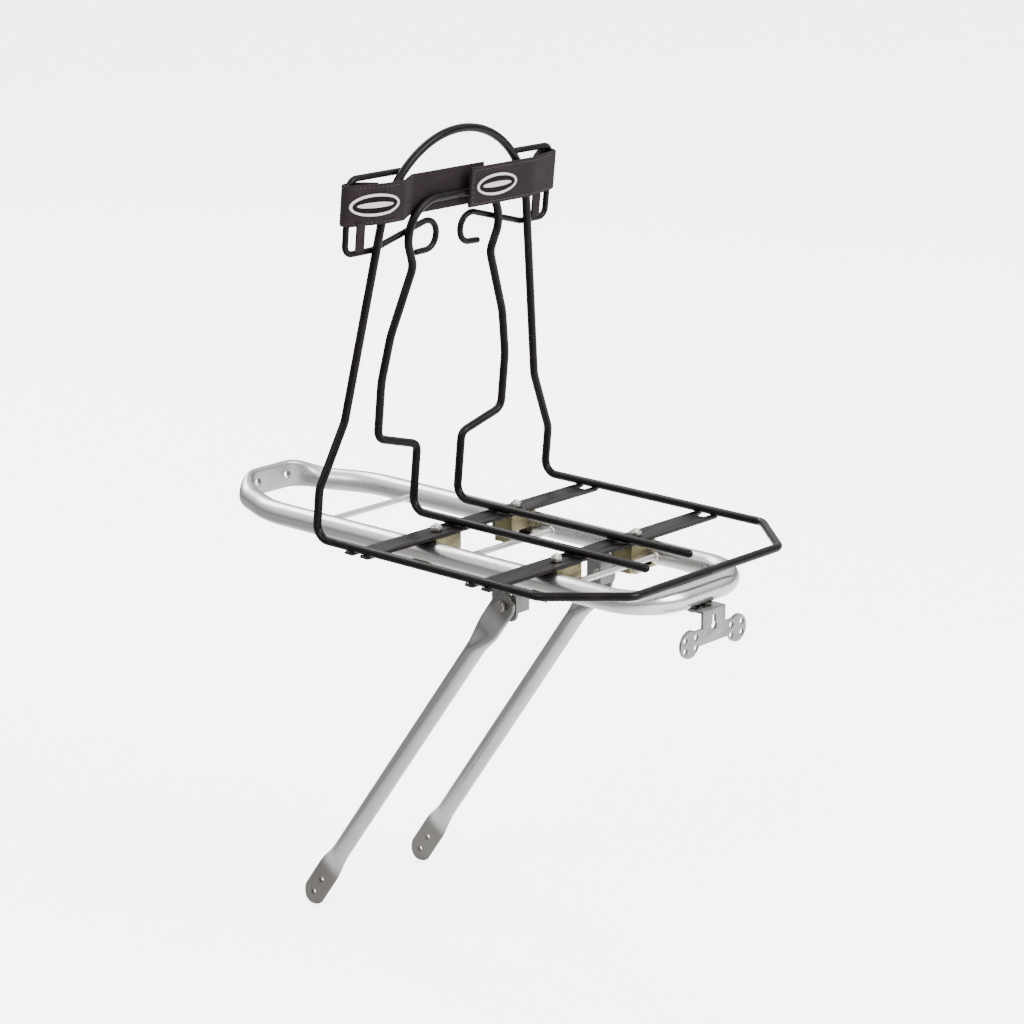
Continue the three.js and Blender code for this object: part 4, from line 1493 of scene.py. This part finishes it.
def room():
    """A studio bright overhead and darker towards the horizon, with a pale backdrop."""
    world = bpy.data.worlds.new("room")
    world.use_nodes = True
    tree = world.node_tree
    where = add_node(tree, "ShaderNodeTexCoord")
    split = add_node(tree, "ShaderNodeSeparateXYZ")
    tree.links.new(where.outputs["Generated"], split.inputs[0])
    shade = add_node(tree, "ShaderNodeValToRGB")
    horizon, overhead = shade.color_ramp.elements
    horizon.position = 0.02
    horizon.color = (0.16, 0.16, 0.165, 1)
    overhead.position = 0.55
    overhead.color = (1, 1, 1, 1)
    tree.links.new(split.outputs["Z"], shade.inputs["Fac"])
    sky = tree.nodes["Background"]
    sky.inputs["Strength"].default_value = 2.3
    tree.links.new(shade.outputs["Color"], sky.inputs["Color"])
    backdrop = add_node(tree, "ShaderNodeBackground", {"Color": (1, 1, 1, 1), "Strength": 6.3})
    seen_directly = add_node(tree, "ShaderNodeLightPath").outputs["Is Camera Ray"]
    seen = either(tree, seen_directly, sky, backdrop)
    tree.links.new(seen, tree.nodes["World Output"].inputs["Surface"])
    return world


class CARRIER_OT_stage(bpy.types.Operator):
    """Pale floor, soft lights and the camera"""
    bl_idname = "carrier.stage"
    bl_label = "Stage"

    def execute(self, context):
        z = cad_bounds[0][2] - 0.002
        mesh = mesh_from("floor", [
            Vector((x * FLOOR_REACH, y * FLOOR_REACH, z))
            for x, y in ((-1, -1), (1, -1), (1, 1), (-1, 1))
        ], [(0, 1, 2, 3)])
        floor = make_object("floor", mesh)
        mesh.materials.append(floor_paint())
        context.scene.world = room()
        for name, (place, size, power) in LIGHTS.items():
            area_light(name, place, size, power)
        camera = bpy.data.cameras.new("camera")
        camera.lens = 108.3
        camera.sensor_width = 36
        camera.clip_end = 100
        eye = bpy.data.objects.new("camera", camera)
        eye.location = CAMERA_PLACE
        eye.rotation_euler = CAMERA_BACK.to_track_quat("Z", "Y").to_euler()
        context.scene.collection.objects.link(eye)
        context.scene.camera = eye
        return {"FINISHED"}


# ---------------------------------------------------------------- panel and registration

OPERATORS = (
    CARRIER_OT_stage, CARRIER_OT_hoop, CARRIER_OT_rods, CARRIER_OT_legs, CARRIER_OT_sheet,
    CARRIER_OT_fasteners, CARRIER_OT_wires, CARRIER_OT_hooks, CARRIER_OT_straps,
    CARRIER_OT_badges,
)


class CARRIER_PT_panel(bpy.types.Panel):
    """Lists the pieces of the carrier and their sizes"""
    bl_idname = "CARRIER_PT_panel"
    bl_label = "Rear Carrier"
    bl_space_type = "VIEW_3D"
    bl_region_type = "UI"
    bl_category = "Carrier"

    def draw(self, context):
        for operator in OPERATORS:
            self.layout.operator(operator.bl_idname)
        for sizes in (context.scene.rear_carrier, context.scene.bag_holder):
            for name in sizes.__annotations__:
                self.layout.prop(sizes, name)


CLASSES = (CarrierSizes, HolderSizes, *OPERATORS, CARRIER_PT_panel)


def register():
    for item in CLASSES:
        bpy.utils.register_class(item)
    bpy.types.Scene.rear_carrier = PointerProperty(type=CarrierSizes)
    bpy.types.Scene.bag_holder = PointerProperty(type=HolderSizes)


def unregister():
    del bpy.types.Scene.bag_holder
    del bpy.types.Scene.rear_carrier
    for item in reversed(CLASSES):
        bpy.utils.unregister_class(item)


def main():
    register()
    for operator in OPERATORS:
        category, name = operator.bl_idname.split(".")
        getattr(getattr(bpy.ops, category), name)()


if __name__ == "__main__":
    main()
